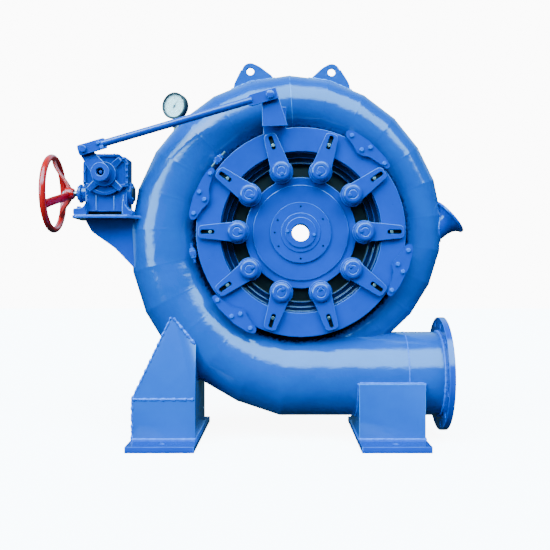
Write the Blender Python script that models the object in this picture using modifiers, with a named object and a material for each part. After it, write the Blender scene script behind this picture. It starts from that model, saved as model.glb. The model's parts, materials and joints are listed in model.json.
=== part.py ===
"""A small horizontal Francis turbine: a spiral casing on two feet, with its guide vane gear.

The model is laid out in the turbine's front view. An empty stands on the turbine's axis and is
turned so that its x runs right, its y runs up and its z runs towards the viewer. Every place
below is given in that frame, in metres from the axis, unless its comment says otherwise.
"""

import math

import bmesh
import bpy
import numpy as np
from mathutils import Matrix

# The turbine's axis over the floor, and the gap between pieces that touch
AXIS_X = 0.157
AXIS_Z = 0.793
SEAT = 0.0003
FLOOR = -AXIS_Z

# Spiral casing: reach is the tube's outermost radius, at degrees of wrap from the lowest point
SPIRAL_REACH = ((0, 0.7085), (185, 0.617), (230, 0.574), (350, 0.512))
ROOT_RADIUS = 0.3835
WALL = 0.008
TUBE_SIDES = 20
FIRST_MITRE = 6.5
MITRES_EACH_HALF = 12
HALF_WRAP = 176.0
LAST_WRAP = 349.0
SEGMENT_ENDS = (34.75, 77.125, 119.5, 161.875, 204.8333, 248.0833, 305.75)
PIPE_RADIUS = (SPIRAL_REACH[0][1] - ROOT_RADIUS) / 2
PIPE_DROP = SPIRAL_REACH[0][1] - PIPE_RADIUS
FLANGE_FACE = 0.722 - AXIS_X
PIPE_START = 0.405

# Inlet flange, nominal bore 300
FLANGE_RADIUS = 0.220
FLANGE_THICK = 0.024
FLANGE_HOLES = 12
FLANGE_HOLE_RADIUS = 0.0115
FLANGE_HOLE_CIRCLE = 0.1975

# Drum that carries the covers, and the chamber that the guide vanes stand in
DRUM_RADIUS = 0.400
DRUM_HALF = 0.062
CHAMBER_HALF = 0.037
DRUM_BORE = 0.300
COVER_INSIDE = 0.038
TURNED_STEPS = 40

# Head cover, from the bore outwards
BORE_RADIUS = 0.033
HUB_RADIUS = 0.181
HUB_FRONT = 0.110
RIM_RADIUS = 0.211
RIM_FRONT = 0.102
RECESS_RADIUS = 0.262
RECESS_FLOOR = 0.074
STEP_RADIUS = 0.284
STEP_FRONT = 0.112
PILOT_RADIUS = 0.3015
PILOT_FRONT = 0.140
COVER_RADIUS = 0.384
SEAT_RADIUS = 0.326
RING_SEAT = 0.1307
COVER_FLANGE_FRONT = 0.095
SEAL_RADIUS = 0.115
SEAL_THICK = 0.008
GLAND_RADIUS = 0.074
GLAND_FRONT = 0.128

# Outlet at the back
OUTLET_RADIUS = 0.185
OUTLET_WALL = 0.010
OUTLET_BACK = 0.160
OUTLET_FLANGE_RADIUS = 0.245
OUTLET_FLANGE_THICK = 0.018
BACK_COVER_THICK = 0.030

# Regulating ring
RING_INNER = 0.3025
RING_OUTER = 0.392
RING_BACK = 0.131
RING_FRONT = 0.149
RING_SIDES = 60
PIN_CIRCLE = 0.338
PIN_RADIUS = 0.0065
PIN_FRONT = 0.164

# Guide vanes and their levers
GATES = 10
STEM_CIRCLE = 0.237
STEM_RADIUS = 0.0175
STEM_BORE = 0.0183
STEM_FRONT = 0.1757
BUSH_RADIUS = 0.044
BUSH_FRONT = 0.150
VANE_LENGTH = 0.142
VANE_THICK = 0.026
VANE_HALF = 0.037
VANE_OPENING = 12.0
LEVER_BACK = 0.1545
LEVER_FRONT = 0.1685
LEVER_HALF_WIDTH = 0.025
LEVER_EYE_RADIUS = 0.038
LEVER_LENGTH = 0.146
LEVER_CAP_RADIUS = 0.036
LEVER_CAP_FRONT = 0.187
SLOT_START = 0.085
SLOT_END = 0.136
SLOT_HALF_WIDTH = 0.008

# Keepers that hold the ring, at their angle round the axis
KEEPER_ANGLES = (51.5, 159.5, 231.5, 339.5)
KEEPER_BACK = 0.1545
KEEPER_FRONT = 0.1645
KEEPER_OUTLINE = (
    (-14, 0.398),
    (-14, 0.413),
    (-4, 0.418),
    (6, 0.418),
    (13, 0.413),
    (13, 0.400),
    (7, 0.390),
    (4, 0.366),
    (-3, 0.364),
    (-8, 0.388),
)
POST_ANGLES = (-12.5, 11.5)
POST_RADIUS = 0.0095
POST_CIRCLE = 0.407

# Stop screws at the ring's rim
STOP_ANGLES = {"upper_stop_screw": 138.5, "left_stop_screw": 191.0}
STOP_CIRCLE = 0.412
STOP_LENGTH = 0.076

# Lifting eyes: angle round the axis, hole's radius from the axis, and which way they lean
EYES = {"left_lifting_eye": (107.0, 0.668), "right_lifting_eye": (79.0, 0.647)}
EYE_HALF_THICK = 0.008
EYE_HOLE_RADIUS = 0.015
EYE_TOP_RADIUS = 0.033

# Feet: sides in x, and the plates under them
LEFT_FOOT = (-0.628, -0.392)
RIGHT_FOOT = (0.215, 0.462)
FOOT_HALF_DEPTH = 0.178
PLATE_HALF_DEPTH = 0.300
PLATE_THICK = 0.023
PLATE_HOLE_RADIUS = 0.013
PLATE_HOLE_OUT = 0.250
LEFT_PLATE = (-0.630, -0.382)
RIGHT_PLATE = (0.213, 0.464)
BEND_HEIGHT = 0.172
LEFT_FOOT_TOP_LEAN = 0.040
RIGHT_FOOT_TOP = 0.228

# Side branch, nominal bore 80, that points up and to the right
BRANCH_LEAN = 41.5
BRANCH_BORE = 0.0400
BRANCH_FACE = (0.588, 0.071)
BRANCH_PROFILE = (
    (0.079, 0.000),
    (0.079, -0.009),
    (0.068, -0.013),
    (0.056, -0.028),
    (0.048, -0.052),
    (0.046, -0.080),
    (0.046, -0.165),
    (BRANCH_BORE, -0.165),
    (BRANCH_BORE, 0.000),
)

# Gearbox on its shelf: the output shaft, the worm and the housing
SHAFT = (-0.736, 0.217)
WORM_HEIGHT = 0.151
WORM_DEPTH = 0.075
HOUSING_LEFT = -0.817
HOUSING_RIGHT = -0.648
HOUSING_BACK = 0.020
HOUSING_FRONT = 0.128
COVER_FRONT = 0.140
COVER_LOW = 0.141
COVER_TOP = 0.294
PAD_BACK = 0.056
SHELF_TOP = 0.065
SHELF_THICK = 0.012
SHELF_LEFT = -0.8525
SHELF_FRONT = 0.150
SHELF_BACK = -0.010
GUSSET_FRONT = 0.066
GUSSET_BACK = 0.054

# Crank, link rod and the arm on the ring
CRANK_PIN = (-0.796, 0.298)
ARM_PIN = (-0.1135, 0.4975)
CRANK_BACK = 0.191
CRANK_FRONT = 0.203
HUB_OUT = 0.214
ROD_DEPTH = 0.215
ROD_RADIUS = 0.0135
ROD_END_HALF = 0.006
PIVOT_RADIUS = 0.008

# Handwheel on the worm's shaft
WHEEL_X = -0.951
WHEEL_RADIUS = 0.140
WHEEL_ROD = 0.010
WHEEL_HUB_X = -0.898
FIRST_SPOKE = 196.6

# Pressure gauge
GAUGE = (-0.490, 0.505)
GAUGE_DEPTH = 0.012
GAUGE_RADIUS = 0.052
GAUGE_THICK = 0.034
GAUGE_TURN = 22.0


def clear_scene():
    for thing in list(bpy.data.objects):
        bpy.data.objects.remove(thing, do_unlink=True)


def new_collection(name):
    collection = bpy.data.collections.new(name)
    bpy.context.scene.collection.children.link(collection)
    return collection


def new_material(name, colour, roughness, metallic):
    material = bpy.data.materials.new(name)
    material.use_nodes = True
    shader = material.node_tree.nodes["Principled BSDF"]
    shader.inputs["Base Color"].default_value = (*colour, 1)
    shader.inputs["Roughness"].default_value = roughness
    shader.inputs["Metallic"].default_value = metallic
    return material


clear_scene()
PARTS = new_collection("francis_turbine")
CUTTERS = new_collection("cutters")
BLUE = new_material("blue enamel", (0.03, 0.20, 0.85), 0.3, 0.0)
BARE = new_material("dark chamber paint", (0.02, 0.03, 0.06), 0.6, 0.0)
RED = new_material("red enamel", (0.75, 0.02, 0.02), 0.3, 0.0)
BLACK = new_material("black casting", (0.01, 0.01, 0.012), 0.5, 0.0)
BRASS = new_material("brass", (0.75, 0.55, 0.25), 0.35, 1.0)

FRONT_VIEW = bpy.data.objects.new("front_view", None)
FRONT_VIEW.location = (AXIS_X, 0, AXIS_Z)
FRONT_VIEW.rotation_euler = (math.pi / 2, 0, 0)
PARTS.objects.link(FRONT_VIEW)


# Helpers for shapes

def smooth(mesh, sharp_degrees=35):
    mesh.shade_smooth()
    mesh.set_sharp_from_angle(angle=math.radians(sharp_degrees))
    return mesh


def mesh_from(build, name):
    mesh = bpy.data.meshes.new(name)
    bm = bmesh.new()
    build(bm)
    bm.to_mesh(mesh)
    bm.free()
    return smooth(mesh)


def cylinder_mesh(name, radius, low, high, sides=24, top_radius=None):
    """A cylinder or cone round local z, from low to high."""
    if top_radius is None:
        top_radius = radius

    def build(bm):
        middle = Matrix.Translation((0, 0, (low + high) / 2))
        bmesh.ops.create_cone(
            bm,
            cap_ends=True,
            segments=sides,
            radius1=radius,
            radius2=top_radius,
            depth=high - low,
            matrix=middle,
        )

    return mesh_from(build, name)


def box_mesh(name, low, high):
    def build(bm):
        size = [h - l for l, h in zip(low, high)]
        centre = [(h + l) / 2 for l, h in zip(low, high)]
        matrix = Matrix.Translation(centre) @ Matrix.Diagonal((*size, 1))
        bmesh.ops.create_cube(bm, size=1, matrix=matrix)

    return mesh_from(build, name)


def circle_points(radius, sides, centre=(0, 0), start=0.0):
    turns = [start + math.tau * i / sides for i in range(sides)]
    return [
        (centre[0] + radius * math.cos(t), centre[1] + radius * math.sin(t))
        for t in turns
    ]


def polar(degrees, radius):
    turn = math.radians(degrees)
    return radius * math.cos(turn), radius * math.sin(turn)


def slab_mesh(name, outlines, low, high):
    """A flat piece from low to high in z. The first outline is its edge, the rest are holes."""
    curve = bpy.data.curves.new(name, "CURVE")
    curve.dimensions = "2D"
    curve.fill_mode = "BOTH"
    curve.extrude = (high - low) / 2
    for outline in outlines:
        spline = curve.splines.new("POLY")
        spline.points.add(len(outline) - 1)
        for point, (x, y) in zip(spline.points, outline):
            point.co = (x, y, 0, 1)
        spline.use_cyclic_u = True
    thing = bpy.data.objects.new(name, curve)
    CUTTERS.objects.link(thing)
    mesh = meshed(thing)
    mesh.transform(Matrix.Translation((0, 0, (low + high) / 2)))
    return smooth(mesh)


def meshed(thing):
    """The evaluated mesh of an object, with its double points welded. The object is removed."""
    graph = bpy.context.evaluated_depsgraph_get()
    graph.update()
    mesh = bpy.data.meshes.new_from_object(thing.evaluated_get(graph))
    bm = bmesh.new()
    bm.from_mesh(mesh)
    bmesh.ops.remove_doubles(bm, verts=bm.verts, dist=1e-6)
    bmesh.ops.recalc_face_normals(bm, faces=bm.faces)
    bm.to_mesh(mesh)
    bm.free()
    bpy.data.objects.remove(thing, do_unlink=True)
    return mesh


def placed(name, mesh, place=(0, 0, 0), turn=(0, 0, 0), collection=None):
    """An object in the front view's frame. Without a collection it is a cutter."""
    thing = bpy.data.objects.new(name, mesh)
    thing.parent = FRONT_VIEW
    thing.location = place
    thing.rotation_euler = turn
    (collection or CUTTERS).objects.link(thing)
    if collection is None:
        thing.hide_render = True
        thing.display_type = "WIRE"
    return thing


def part(name, mesh, material, place=(0, 0, 0), turn=(0, 0, 0)):
    if not mesh.materials:
        mesh.materials.append(material)
    return placed(name, mesh, place, turn, PARTS)


def boolean(thing, other, operation):
    modifier = thing.modifiers.new(operation.lower(), "BOOLEAN")
    modifier.operation = operation
    modifier.object = other
    modifier.solver = "EXACT"


def join(thing, *others):
    for other in others:
        boolean(thing, other, "UNION")


def cut(thing, *others):
    for other in others:
        boolean(thing, other, "DIFFERENCE")


def turned(name, profile, material, steps=TURNED_STEPS):
    """A closed profile of radius and z, turned round the axis. Its outer side runs downwards."""
    mesh = bpy.data.meshes.new(name)
    count = len(profile)
    points = [(radius, 0, z) for radius, z in profile]
    mesh.from_pydata(points, [(i, (i + 1) % count) for i in range(count)], [])
    thing = part(name, mesh, material)
    screw = thing.modifiers.new("turn", "SCREW")
    screw.steps = steps
    screw.render_steps = steps
    screw.use_merge_vertices = True
    screw.merge_threshold = 0.0001
    screw.use_smooth_shade = False
    return thing


# The spiral casing

def reach_at(wrap):
    wraps, reaches = zip(*SPIRAL_REACH)
    return float(np.interp(wrap, wraps, reaches))


def tube_ring(wrap, grow):
    """One round section of the spiral tube, as points, at degrees of wrap from the lowest point."""
    reach = reach_at(wrap)
    radius = (reach - ROOT_RADIUS) / 2
    centre = reach - radius
    turn = math.radians(270 - wrap)
    ring = []
    for side in range(TUBE_SIDES):
        angle = math.tau * (side + 0.5) / TUBE_SIDES
        out = centre + (radius + grow) * math.cos(angle)
        z = (radius + grow) * math.sin(angle)
        ring.append((out * math.cos(turn), out * math.sin(turn), z))
    return ring


def inlet_ring(x, grow):
    """A section of the straight inlet, in line with the tube's lowest section."""
    return [(x, y, z) for _, y, z in tube_ring(0, grow)]


def loft_mesh(name, rings):
    """A closed skin over sections of equally many points."""

    def build(bm):
        rows = [[bm.verts.new(point) for point in ring] for ring in rings]
        for row, following in zip(rows, rows[1:]):
            for i in range(len(row)):
                j = (i + 1) % len(row)
                bm.faces.new((row[i], row[j], following[j], following[i]))
        bm.faces.new(rows[0])
        bm.faces.new(rows[-1])
        bmesh.ops.recalc_face_normals(bm, faces=bm.faces)

    return mesh_from(build, name)


def first_mitre_ring(grow):
    """Where the straight inlet meets the first mitre's plane, through the axis."""
    turn = math.radians(270 - FIRST_MITRE)
    slope = math.cos(turn) / math.sin(turn)
    return [(y * slope, y, z) for _, y, z in tube_ring(0, grow)]


def first_half(name, grow, end_x):
    """The inlet and the tube's first half, with its outline broken at each mitre."""
    wraps = np.linspace(FIRST_MITRE, HALF_WRAP, MITRES_EACH_HALF + 1)
    rings = [inlet_ring(end_x, grow), first_mitre_ring(grow)]
    rings += [tube_ring(wrap, grow) for wrap in wraps[1:]]
    return placed(name, loft_mesh(name, rings))


def second_half(name, grow):
    """The tube from its top to its small end. It starts with a nose inside the first half."""
    wraps = np.linspace(HALF_WRAP, LAST_WRAP, MITRES_EACH_HALF + 1)
    rings = [tube_ring(HALF_WRAP - 2, grow - 0.002)]
    rings += [tube_ring(wrap, grow) for wrap in wraps]
    return placed(name, loft_mesh(name, rings))


PIPE_END = FLANGE_FACE - FLANGE_THICK
TUBE_CUTTERS = (
    first_half("tube_room_1", SEAT, PIPE_END),
    second_half("tube_room_2", SEAT),
)

DRUM_ROOM = placed(
    "drum_room",
    cylinder_mesh("drum_room", DRUM_RADIUS + SEAT, -DRUM_HALF - SEAT, DRUM_HALF + SEAT, 48),
)


def branch_turn():
    """Turns local z to the side branch's own direction in the front view."""
    return (0, math.radians(90), math.radians(BRANCH_LEAN))


def casing_shell():
    """The hollow spiral with its inlet, as one mesh. It is open towards the axis."""
    shell = first_half("casing_outside", 0, PIPE_START)
    bore = cylinder_mesh("branch_hole", BRANCH_BORE, -0.14, 0.02, 20)
    join(shell, second_half("casing_outside_2", 0))
    cut(
        shell,
        first_half("casing_inside", -WALL, PIPE_START + 0.01),
        second_half("casing_inside_2", -WALL),
        DRUM_ROOM,
        placed("branch_hole", bore, (*BRANCH_FACE, 0), branch_turn()),
    )
    return meshed(shell)


def sector_mesh(first, last):
    """A wedge round the axis between two degrees of wrap, half a seat short of either."""
    low = math.radians(270 - last)
    high = math.radians(270 - first)
    half = (high - low) / 2
    back = SEAT / 2 / math.sin(half)
    apex = (back * math.cos(low + half), back * math.sin(low + half))
    outline = [apex]
    for turn in (low, low + half / 2, low + half, high - half / 2, high):
        outline.append((apex[0] + math.cos(turn), apex[1] + math.sin(turn)))
    return slab_mesh("sector", [outline], -0.2, 0.2)


def make_casing():
    """The spiral's welded lengths. The first one has the inlet and the spiral's small end."""
    shell = casing_shell()
    starts = (SEGMENT_ENDS[-1] - 360, *SEGMENT_ENDS[:-1])
    for number, (first, last) in enumerate(zip(starts, SEGMENT_ENDS), 1):
        segment = part(f"spiral_segment_{number}", shell.copy(), BLUE)
        boolean(segment, placed(f"sector_{number}", sector_mesh(first, last)), "INTERSECT")


def make_stay_rings():
    """The drum's two flat rings. The spiral's mouth is welded to their rims."""
    outlines = [circle_points(DRUM_RADIUS, 48), circle_points(DRUM_BORE, 48)]
    part("front_stay_ring", slab_mesh("front_stay_ring", outlines, CHAMBER_HALF, DRUM_HALF), BLUE)
    part("back_stay_ring", slab_mesh("back_stay_ring", outlines, -DRUM_HALF, -CHAMBER_HALF), BLUE)


def make_inlet_pipe():
    """The straight length between the spiral and the flange."""
    outer = loft_mesh("inlet_pipe", [inlet_ring(PIPE_START + SEAT, 0), inlet_ring(PIPE_END, 0)])
    pipe = part("inlet_pipe", outer, BLUE)
    ends = [inlet_ring(PIPE_START - 0.01, -WALL), inlet_ring(PIPE_END + 0.01, -WALL)]
    cut(pipe, placed("pipe_bore", loft_mesh("pipe_bore", ends)))


def make_inlet_flange():
    """A flat ring on the pipe's end. Its local z lies along the pipe."""
    bore = circle_points(PIPE_RADIUS - WALL, TUBE_SIDES)
    outlines = [circle_points(FLANGE_RADIUS, 40), bore]
    for hole in range(FLANGE_HOLES):
        centre = polar(360 * (hole + 0.5) / FLANGE_HOLES, FLANGE_HOLE_CIRCLE)
        outlines.append(circle_points(FLANGE_HOLE_RADIUS, 10, centre))
    mesh = slab_mesh("inlet_flange", outlines, SEAT, FLANGE_THICK)
    part("inlet_flange", mesh, BLUE, (PIPE_END, -PIPE_DROP, 0), (0, math.pi / 2, 0))


def make_side_branch():
    """A trumpet-shaped neck, turned round its own z, that grows out of the tube."""
    branch = turned("side_branch", BRANCH_PROFILE, BLUE, 28)
    branch.location = (*BRANCH_FACE, 0)
    branch.rotation_euler = branch_turn()
    cut(branch, *TUBE_CUTTERS)


# Covers on both sides of the drum

def make_head_cover():
    profile = (
        (HUB_RADIUS + SEAT, RIM_FRONT),
        (RIM_RADIUS, RIM_FRONT),
        (RIM_RADIUS, RECESS_FLOOR),
        (RECESS_RADIUS, RECESS_FLOOR),
        (RECESS_RADIUS, STEP_FRONT),
        (STEP_RADIUS, STEP_FRONT),
        (STEP_RADIUS, PILOT_FRONT),
        (PILOT_RADIUS, PILOT_FRONT),
        (PILOT_RADIUS, RING_SEAT),
        (SEAT_RADIUS, RING_SEAT),
        (SEAT_RADIUS, COVER_FLANGE_FRONT),
        (COVER_RADIUS, COVER_FLANGE_FRONT),
        (COVER_RADIUS, DRUM_HALF + SEAT),
        (DRUM_BORE - 0.001, DRUM_HALF + SEAT),
        (DRUM_BORE - 0.001, COVER_INSIDE),
        (HUB_RADIUS + SEAT, COVER_INSIDE),
    )
    cover = turned("head_cover", profile, BLUE)
    bush = cylinder_mesh("bush", BUSH_RADIUS, RECESS_FLOOR - 0.02, BUSH_FRONT, 18)
    hole = cylinder_mesh("stem_hole", STEM_BORE, 0.0, 0.2, 12)
    for gate in range(GATES):
        place = (*polar(360 * gate / GATES, STEM_CIRCLE), 0)
        join(cover, placed(f"bush_{gate + 1}", bush, place))
        cut(cover, placed(f"stem_hole_{gate + 1}", hole, place))


def make_seal_housing():
    """The hub in the middle of the head cover, which the shaft's seal sits in."""
    profile = (
        (BORE_RADIUS, HUB_FRONT),
        (HUB_RADIUS, HUB_FRONT),
        (HUB_RADIUS, COVER_INSIDE),
        (BORE_RADIUS, COVER_INSIDE),
    )
    turned("seal_housing", profile, BLUE)


def make_seal_cover():
    back = HUB_FRONT + SEAT
    front = back + SEAL_THICK
    profile = (
        (BORE_RADIUS, GLAND_FRONT),
        (GLAND_RADIUS, GLAND_FRONT),
        (GLAND_RADIUS, front),
        (SEAL_RADIUS, front),
        (SEAL_RADIUS, back),
        (BORE_RADIUS, back),
    )
    turned("seal_cover", profile, BLUE)


def make_back_cover():
    inner = OUTLET_RADIUS
    outer = OUTLET_RADIUS + OUTLET_WALL
    cover_back = -DRUM_HALF - BACK_COVER_THICK
    profile = (
        (inner, -COVER_INSIDE),
        (DRUM_BORE - 0.001, -COVER_INSIDE),
        (DRUM_BORE - 0.001, -DRUM_HALF - SEAT),
        (COVER_RADIUS, -DRUM_HALF - SEAT),
        (COVER_RADIUS, cover_back),
        (outer, cover_back),
        (outer, -OUTLET_BACK + OUTLET_FLANGE_THICK),
        (OUTLET_FLANGE_RADIUS, -OUTLET_BACK + OUTLET_FLANGE_THICK),
        (OUTLET_FLANGE_RADIUS, -OUTLET_BACK),
        (inner, -OUTLET_BACK),
    )
    turned("back_cover", profile, BLUE)


# The ring and what holds it

def make_regulating_ring():
    plate = slab_mesh(
        "regulating_ring",
        [circle_points(RING_OUTER, RING_SIDES), circle_points(RING_INNER, RING_SIDES)],
        RING_BACK,
        RING_FRONT,
    )
    ring = part("regulating_ring", plate, BLUE)
    tab = slab_mesh("arm_tab", [ARM_TAB_OUTLINE], RING_BACK, RING_FRONT)
    join(ring, placed("arm_tab", tab))
    pin = cylinder_mesh("ring_pin", PIN_RADIUS, RING_BACK + 0.005, PIN_FRONT, 10)
    for gate in range(GATES):
        place = (*polar(360 * gate / GATES, PIN_CIRCLE), 0)
        join(ring, placed(f"ring_pin_{gate + 1}", pin, place))


ARM_TAB_OUTLINE = (
    (-0.142, 0.345),
    (-0.055, 0.365),
    (-0.055, 0.468),
    (-0.139, 0.468),
)
ARM_BLOCK_OUTLINE = (
    (-0.139, 0.398),
    (-0.055, 0.398),
    (-0.078, 0.470),
    (-0.139, 0.470),
)


def arm_plate_outline():
    """The arm's front plate: a tapering plate with a round head about the pin."""
    head = [
        (ARM_PIN[0] + x, ARM_PIN[1] + y)
        for x, y in circle_points(0.027, 24)[1:12]
    ]
    return [(-0.143, 0.384), (-0.049, 0.388), *head, (-0.144, 0.466)]


def make_ring_arm():
    block = slab_mesh("ring_arm", [ARM_BLOCK_OUTLINE], RING_FRONT + SEAT, CRANK_BACK + 0.004)
    arm = part("ring_arm", block, BLUE)
    plate = slab_mesh("arm_plate", [arm_plate_outline()], CRANK_BACK, CRANK_FRONT)
    pin = cylinder_mesh("arm_pin", PIVOT_RADIUS, CRANK_BACK + 0.002, 0.2225, 16)
    head = cylinder_mesh("arm_pin_head", 0.018, 0.2222, 0.230, 6)
    place = (*ARM_PIN, 0)
    join(
        arm,
        placed("arm_plate", plate),
        placed("arm_pin", pin, place),
        placed("arm_pin_head", head, place),
    )


def make_keepers():
    outline = [polar(degrees, radius) for degrees, radius in KEEPER_OUTLINE]
    post = cylinder_mesh("keeper_post", POST_RADIUS, 0.03, KEEPER_BACK + 0.003, 12)
    for number, angle in enumerate(KEEPER_ANGLES, 1):
        turn = (0, 0, math.radians(angle))
        plate = slab_mesh("ring_keeper", [outline], KEEPER_BACK, KEEPER_FRONT)
        keeper = part(f"ring_keeper_{number}", plate, BLUE, (0, 0, 0), turn)
        for post_angle in POST_ANGLES:
            place = (*polar(angle + post_angle, POST_CIRCLE), 0)
            join(keeper, placed(f"keeper_post_{number}_{post_angle}", post, place))
        cut(keeper, *TUBE_CUTTERS, DRUM_ROOM)


def make_stop_screws():
    """Each is a lug on the tube with a screw through it, along the ring's rim."""
    for name, angle in STOP_ANGLES.items():
        turn = (0, 0, math.radians(angle))
        lug = box_mesh("stop_lug", (STOP_CIRCLE - 0.011, -0.009, 0.03), (STOP_CIRCLE + 0.011, 0.009, 0.152))
        stop = part(name, lug, BLUE, (0, 0, 0), turn)
        screw = cylinder_mesh("stop_screw", 0.006, -STOP_LENGTH / 2, STOP_LENGTH / 2, 12)
        nut = cylinder_mesh("stop_nut", 0.011, 0.0085, 0.018, 6)
        place = (*polar(angle, STOP_CIRCLE), 0.141)
        along = (math.pi / 2, 0, math.radians(angle))
        join(
            stop,
            placed(f"{name}_screw", screw, place, along),
            placed(f"{name}_nut", nut, place, along),
        )
        cut(stop, *TUBE_CUTTERS, DRUM_ROOM)


# Guide vanes and levers

def lever_mesh():
    """A lever that points along x from its stem, with its slot, cap and stem socket."""
    eye = circle_points(LEVER_EYE_RADIUS, 20)
    end_x = LEVER_LENGTH - 0.014
    corner = 0.014
    tip = [
        (end_x + x, side * (LEVER_HALF_WIDTH - corner) + y)
        for side, start in ((-1, -90), (1, 0))
        for x, y in circle_points(corner, 8, start=math.radians(start))[:3]
    ]
    round_end = [point for point in eye if point[0] < LEVER_HALF_WIDTH * 1.1]
    upper = sorted((p for p in round_end if p[1] >= 0), key=lambda p: -p[0])
    lower = sorted((p for p in round_end if p[1] < 0), key=lambda p: p[0])
    outline = tip + upper + lower
    mesh = slab_mesh("guide_lever", [outline, slot_outline()], LEVER_BACK, LEVER_FRONT)
    lever = placed("lever_blank", mesh)
    cap = cylinder_mesh(
        "lever_cap", LEVER_CAP_RADIUS, LEVER_FRONT - 0.004, LEVER_CAP_FRONT, 20
    )
    socket = cylinder_mesh("stem_socket", STEM_BORE, LEVER_BACK - 0.01, STEM_FRONT + SEAT, 12)
    caps = placed("lever_cap", cap)
    sockets = placed("stem_socket", socket)
    join(lever, caps)
    cut(lever, sockets)
    return smooth(meshed(lever))


def slot_outline():
    start = SLOT_START + SLOT_HALF_WIDTH
    end = SLOT_END - SLOT_HALF_WIDTH
    right = circle_points(SLOT_HALF_WIDTH, 12, (end, 0), -math.pi / 2)[:7:2]
    left = circle_points(SLOT_HALF_WIDTH, 12, (start, 0), math.pi / 2)[:7:2]
    return right + left


def vane_mesh():
    """A vane along x with a blunt nose, and its stem along z."""
    steps = np.cos(np.linspace(0, math.pi, 9))
    half = VANE_THICK / 2 * np.sqrt(1 - steps**2) * (1 - 0.3 * steps)
    xs = steps * VANE_LENGTH / 2
    upper = list(zip(xs, half))
    lower = list(zip(xs, -half))[-2:0:-1]
    blade = slab_mesh("guide_vane", [upper + lower], -VANE_HALF, VANE_HALF)
    vane = placed("vane_blank", blade)
    stem = cylinder_mesh("vane_stem", STEM_RADIUS, VANE_HALF - 0.02, STEM_FRONT, 12)
    join(vane, placed("vane_stem", stem))
    return smooth(meshed(vane))


def make_gates():
    lever = lever_mesh()
    vane = vane_mesh()
    lever.materials.append(BLUE)
    vane.materials.append(BARE)
    for gate in range(GATES):
        angle = 360 * gate / GATES
        place = (*polar(angle, STEM_CIRCLE), 0)
        part(f"guide_lever_{gate + 1}", lever, BLUE, place, (0, 0, math.radians(angle)))
        inward = math.radians(angle - 90 - VANE_OPENING)
        part(f"guide_vane_{gate + 1}", vane, BARE, place, (0, 0, inward))


# Feet and lifting eyes

def make_base_plate(name, sides):
    middle = sum(sides) / 2
    edge = [
        (sides[0], -PLATE_HALF_DEPTH),
        (sides[1], -PLATE_HALF_DEPTH),
        (sides[1], PLATE_HALF_DEPTH),
        (sides[0], PLATE_HALF_DEPTH),
    ]
    holes = [
        circle_points(PLATE_HOLE_RADIUS, 16, (middle, out))
        for out in (-PLATE_HOLE_OUT, PLATE_HOLE_OUT)
    ]
    mesh = slab_mesh(name, [edge, *holes], 0, PLATE_THICK)
    part(name, mesh, BLUE, (0, FLOOR, 0), (-math.pi / 2, 0, 0))


def make_left_foot():
    """A box that narrows to a point where it meets the tube, and leans back over its bend."""
    low = FLOOR + PLATE_THICK + SEAT
    bend = FLOOR + BEND_HEIGHT
    outline = [
        (LEFT_FOOT[0], low),
        (LEFT_FOOT[1], low),
        (LEFT_FOOT[1], -0.420),
        (LEFT_FOOT[1] - 0.020, -0.396),
        (-0.478, -0.318),
        (-0.486, -0.314),
        (LEFT_FOOT[0], bend),
    ]
    mesh = slab_mesh("left_foot", [outline], -FOOT_HALF_DEPTH, FOOT_HALF_DEPTH)
    foot = part("left_foot", mesh, BLUE)
    top = -0.314
    for side in (-1, 1):
        face = side * FOOT_HALF_DEPTH
        lean = side * (FOOT_HALF_DEPTH - LEFT_FOOT_TOP_LEAN)
        wedge = [(bend, face), (top, lean), (top, face * 1.2), (bend, face * 1.2)]
        cutter = slab_mesh("left_foot_lean", [wedge], -0.2, 0.2)
        turn = Matrix(((0, 0, 1, 0), (1, 0, 0, 0), (0, 1, 0, 0), (0, 0, 0, 1)))
        cutter.transform(turn)
        cut(foot, placed(f"left_foot_lean_{side}", cutter, (sum(LEFT_FOOT) / 2, 0, 0)))
    cut(foot, *TUBE_CUTTERS)


def make_right_foot():
    low = (RIGHT_FOOT[0], FLOOR + PLATE_THICK + SEAT, -FOOT_HALF_DEPTH)
    high = (RIGHT_FOOT[1], FLOOR + RIGHT_FOOT_TOP, FOOT_HALF_DEPTH)
    foot = part("right_foot", box_mesh("right_foot", low, high), BLUE)
    cut(foot, *TUBE_CUTTERS)


def make_lifting_eyes():
    for name, (angle, hole_circle) in EYES.items():
        lean = 0.016 if angle > 90 else -0.016
        top = circle_points(EYE_TOP_RADIUS, 24)[1:12]
        outline = [(-0.082, -0.100), (-0.082 + lean, -0.052), *reversed(top), (0.082 + lean, -0.052)]
        outline.append((0.082, -0.100))
        hole = circle_points(EYE_HOLE_RADIUS, 16)
        mesh = slab_mesh(name, [outline, hole], -EYE_HALF_THICK, EYE_HALF_THICK)
        place = (*polar(angle, hole_circle), 0)
        eye = part(name, mesh, BLUE, place, (0, 0, math.radians(angle - 90)))
        cut(eye, *TUBE_CUTTERS)


# Gearbox, its shelf and its drive

def make_gearbox_bracket():
    shelf = box_mesh(
        "gearbox_bracket",
        (SHELF_LEFT, SHELF_TOP - SHELF_THICK, SHELF_BACK),
        (-0.560, SHELF_TOP, SHELF_FRONT),
    )
    bracket = part("gearbox_bracket", shelf, BLUE)
    under = SHELF_TOP - SHELF_THICK / 2
    outline = [
        (-0.826, under),
        (-0.826, 0.046),
        (-0.802, 0.005),
        (-0.714, -0.057),
        (-0.637, -0.137),
        (-0.560, -0.150),
        (-0.560, under),
    ]
    gusset = slab_mesh("gusset", [outline], GUSSET_BACK, GUSSET_FRONT)
    join(bracket, placed("gusset", gusset))
    cut(bracket, *TUBE_CUTTERS)
    inner = cylinder_mesh("bracket_room", reach_at(90) - 0.03, -0.2, 0.2, 64)
    cut(bracket, placed("bracket_room", inner))


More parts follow.
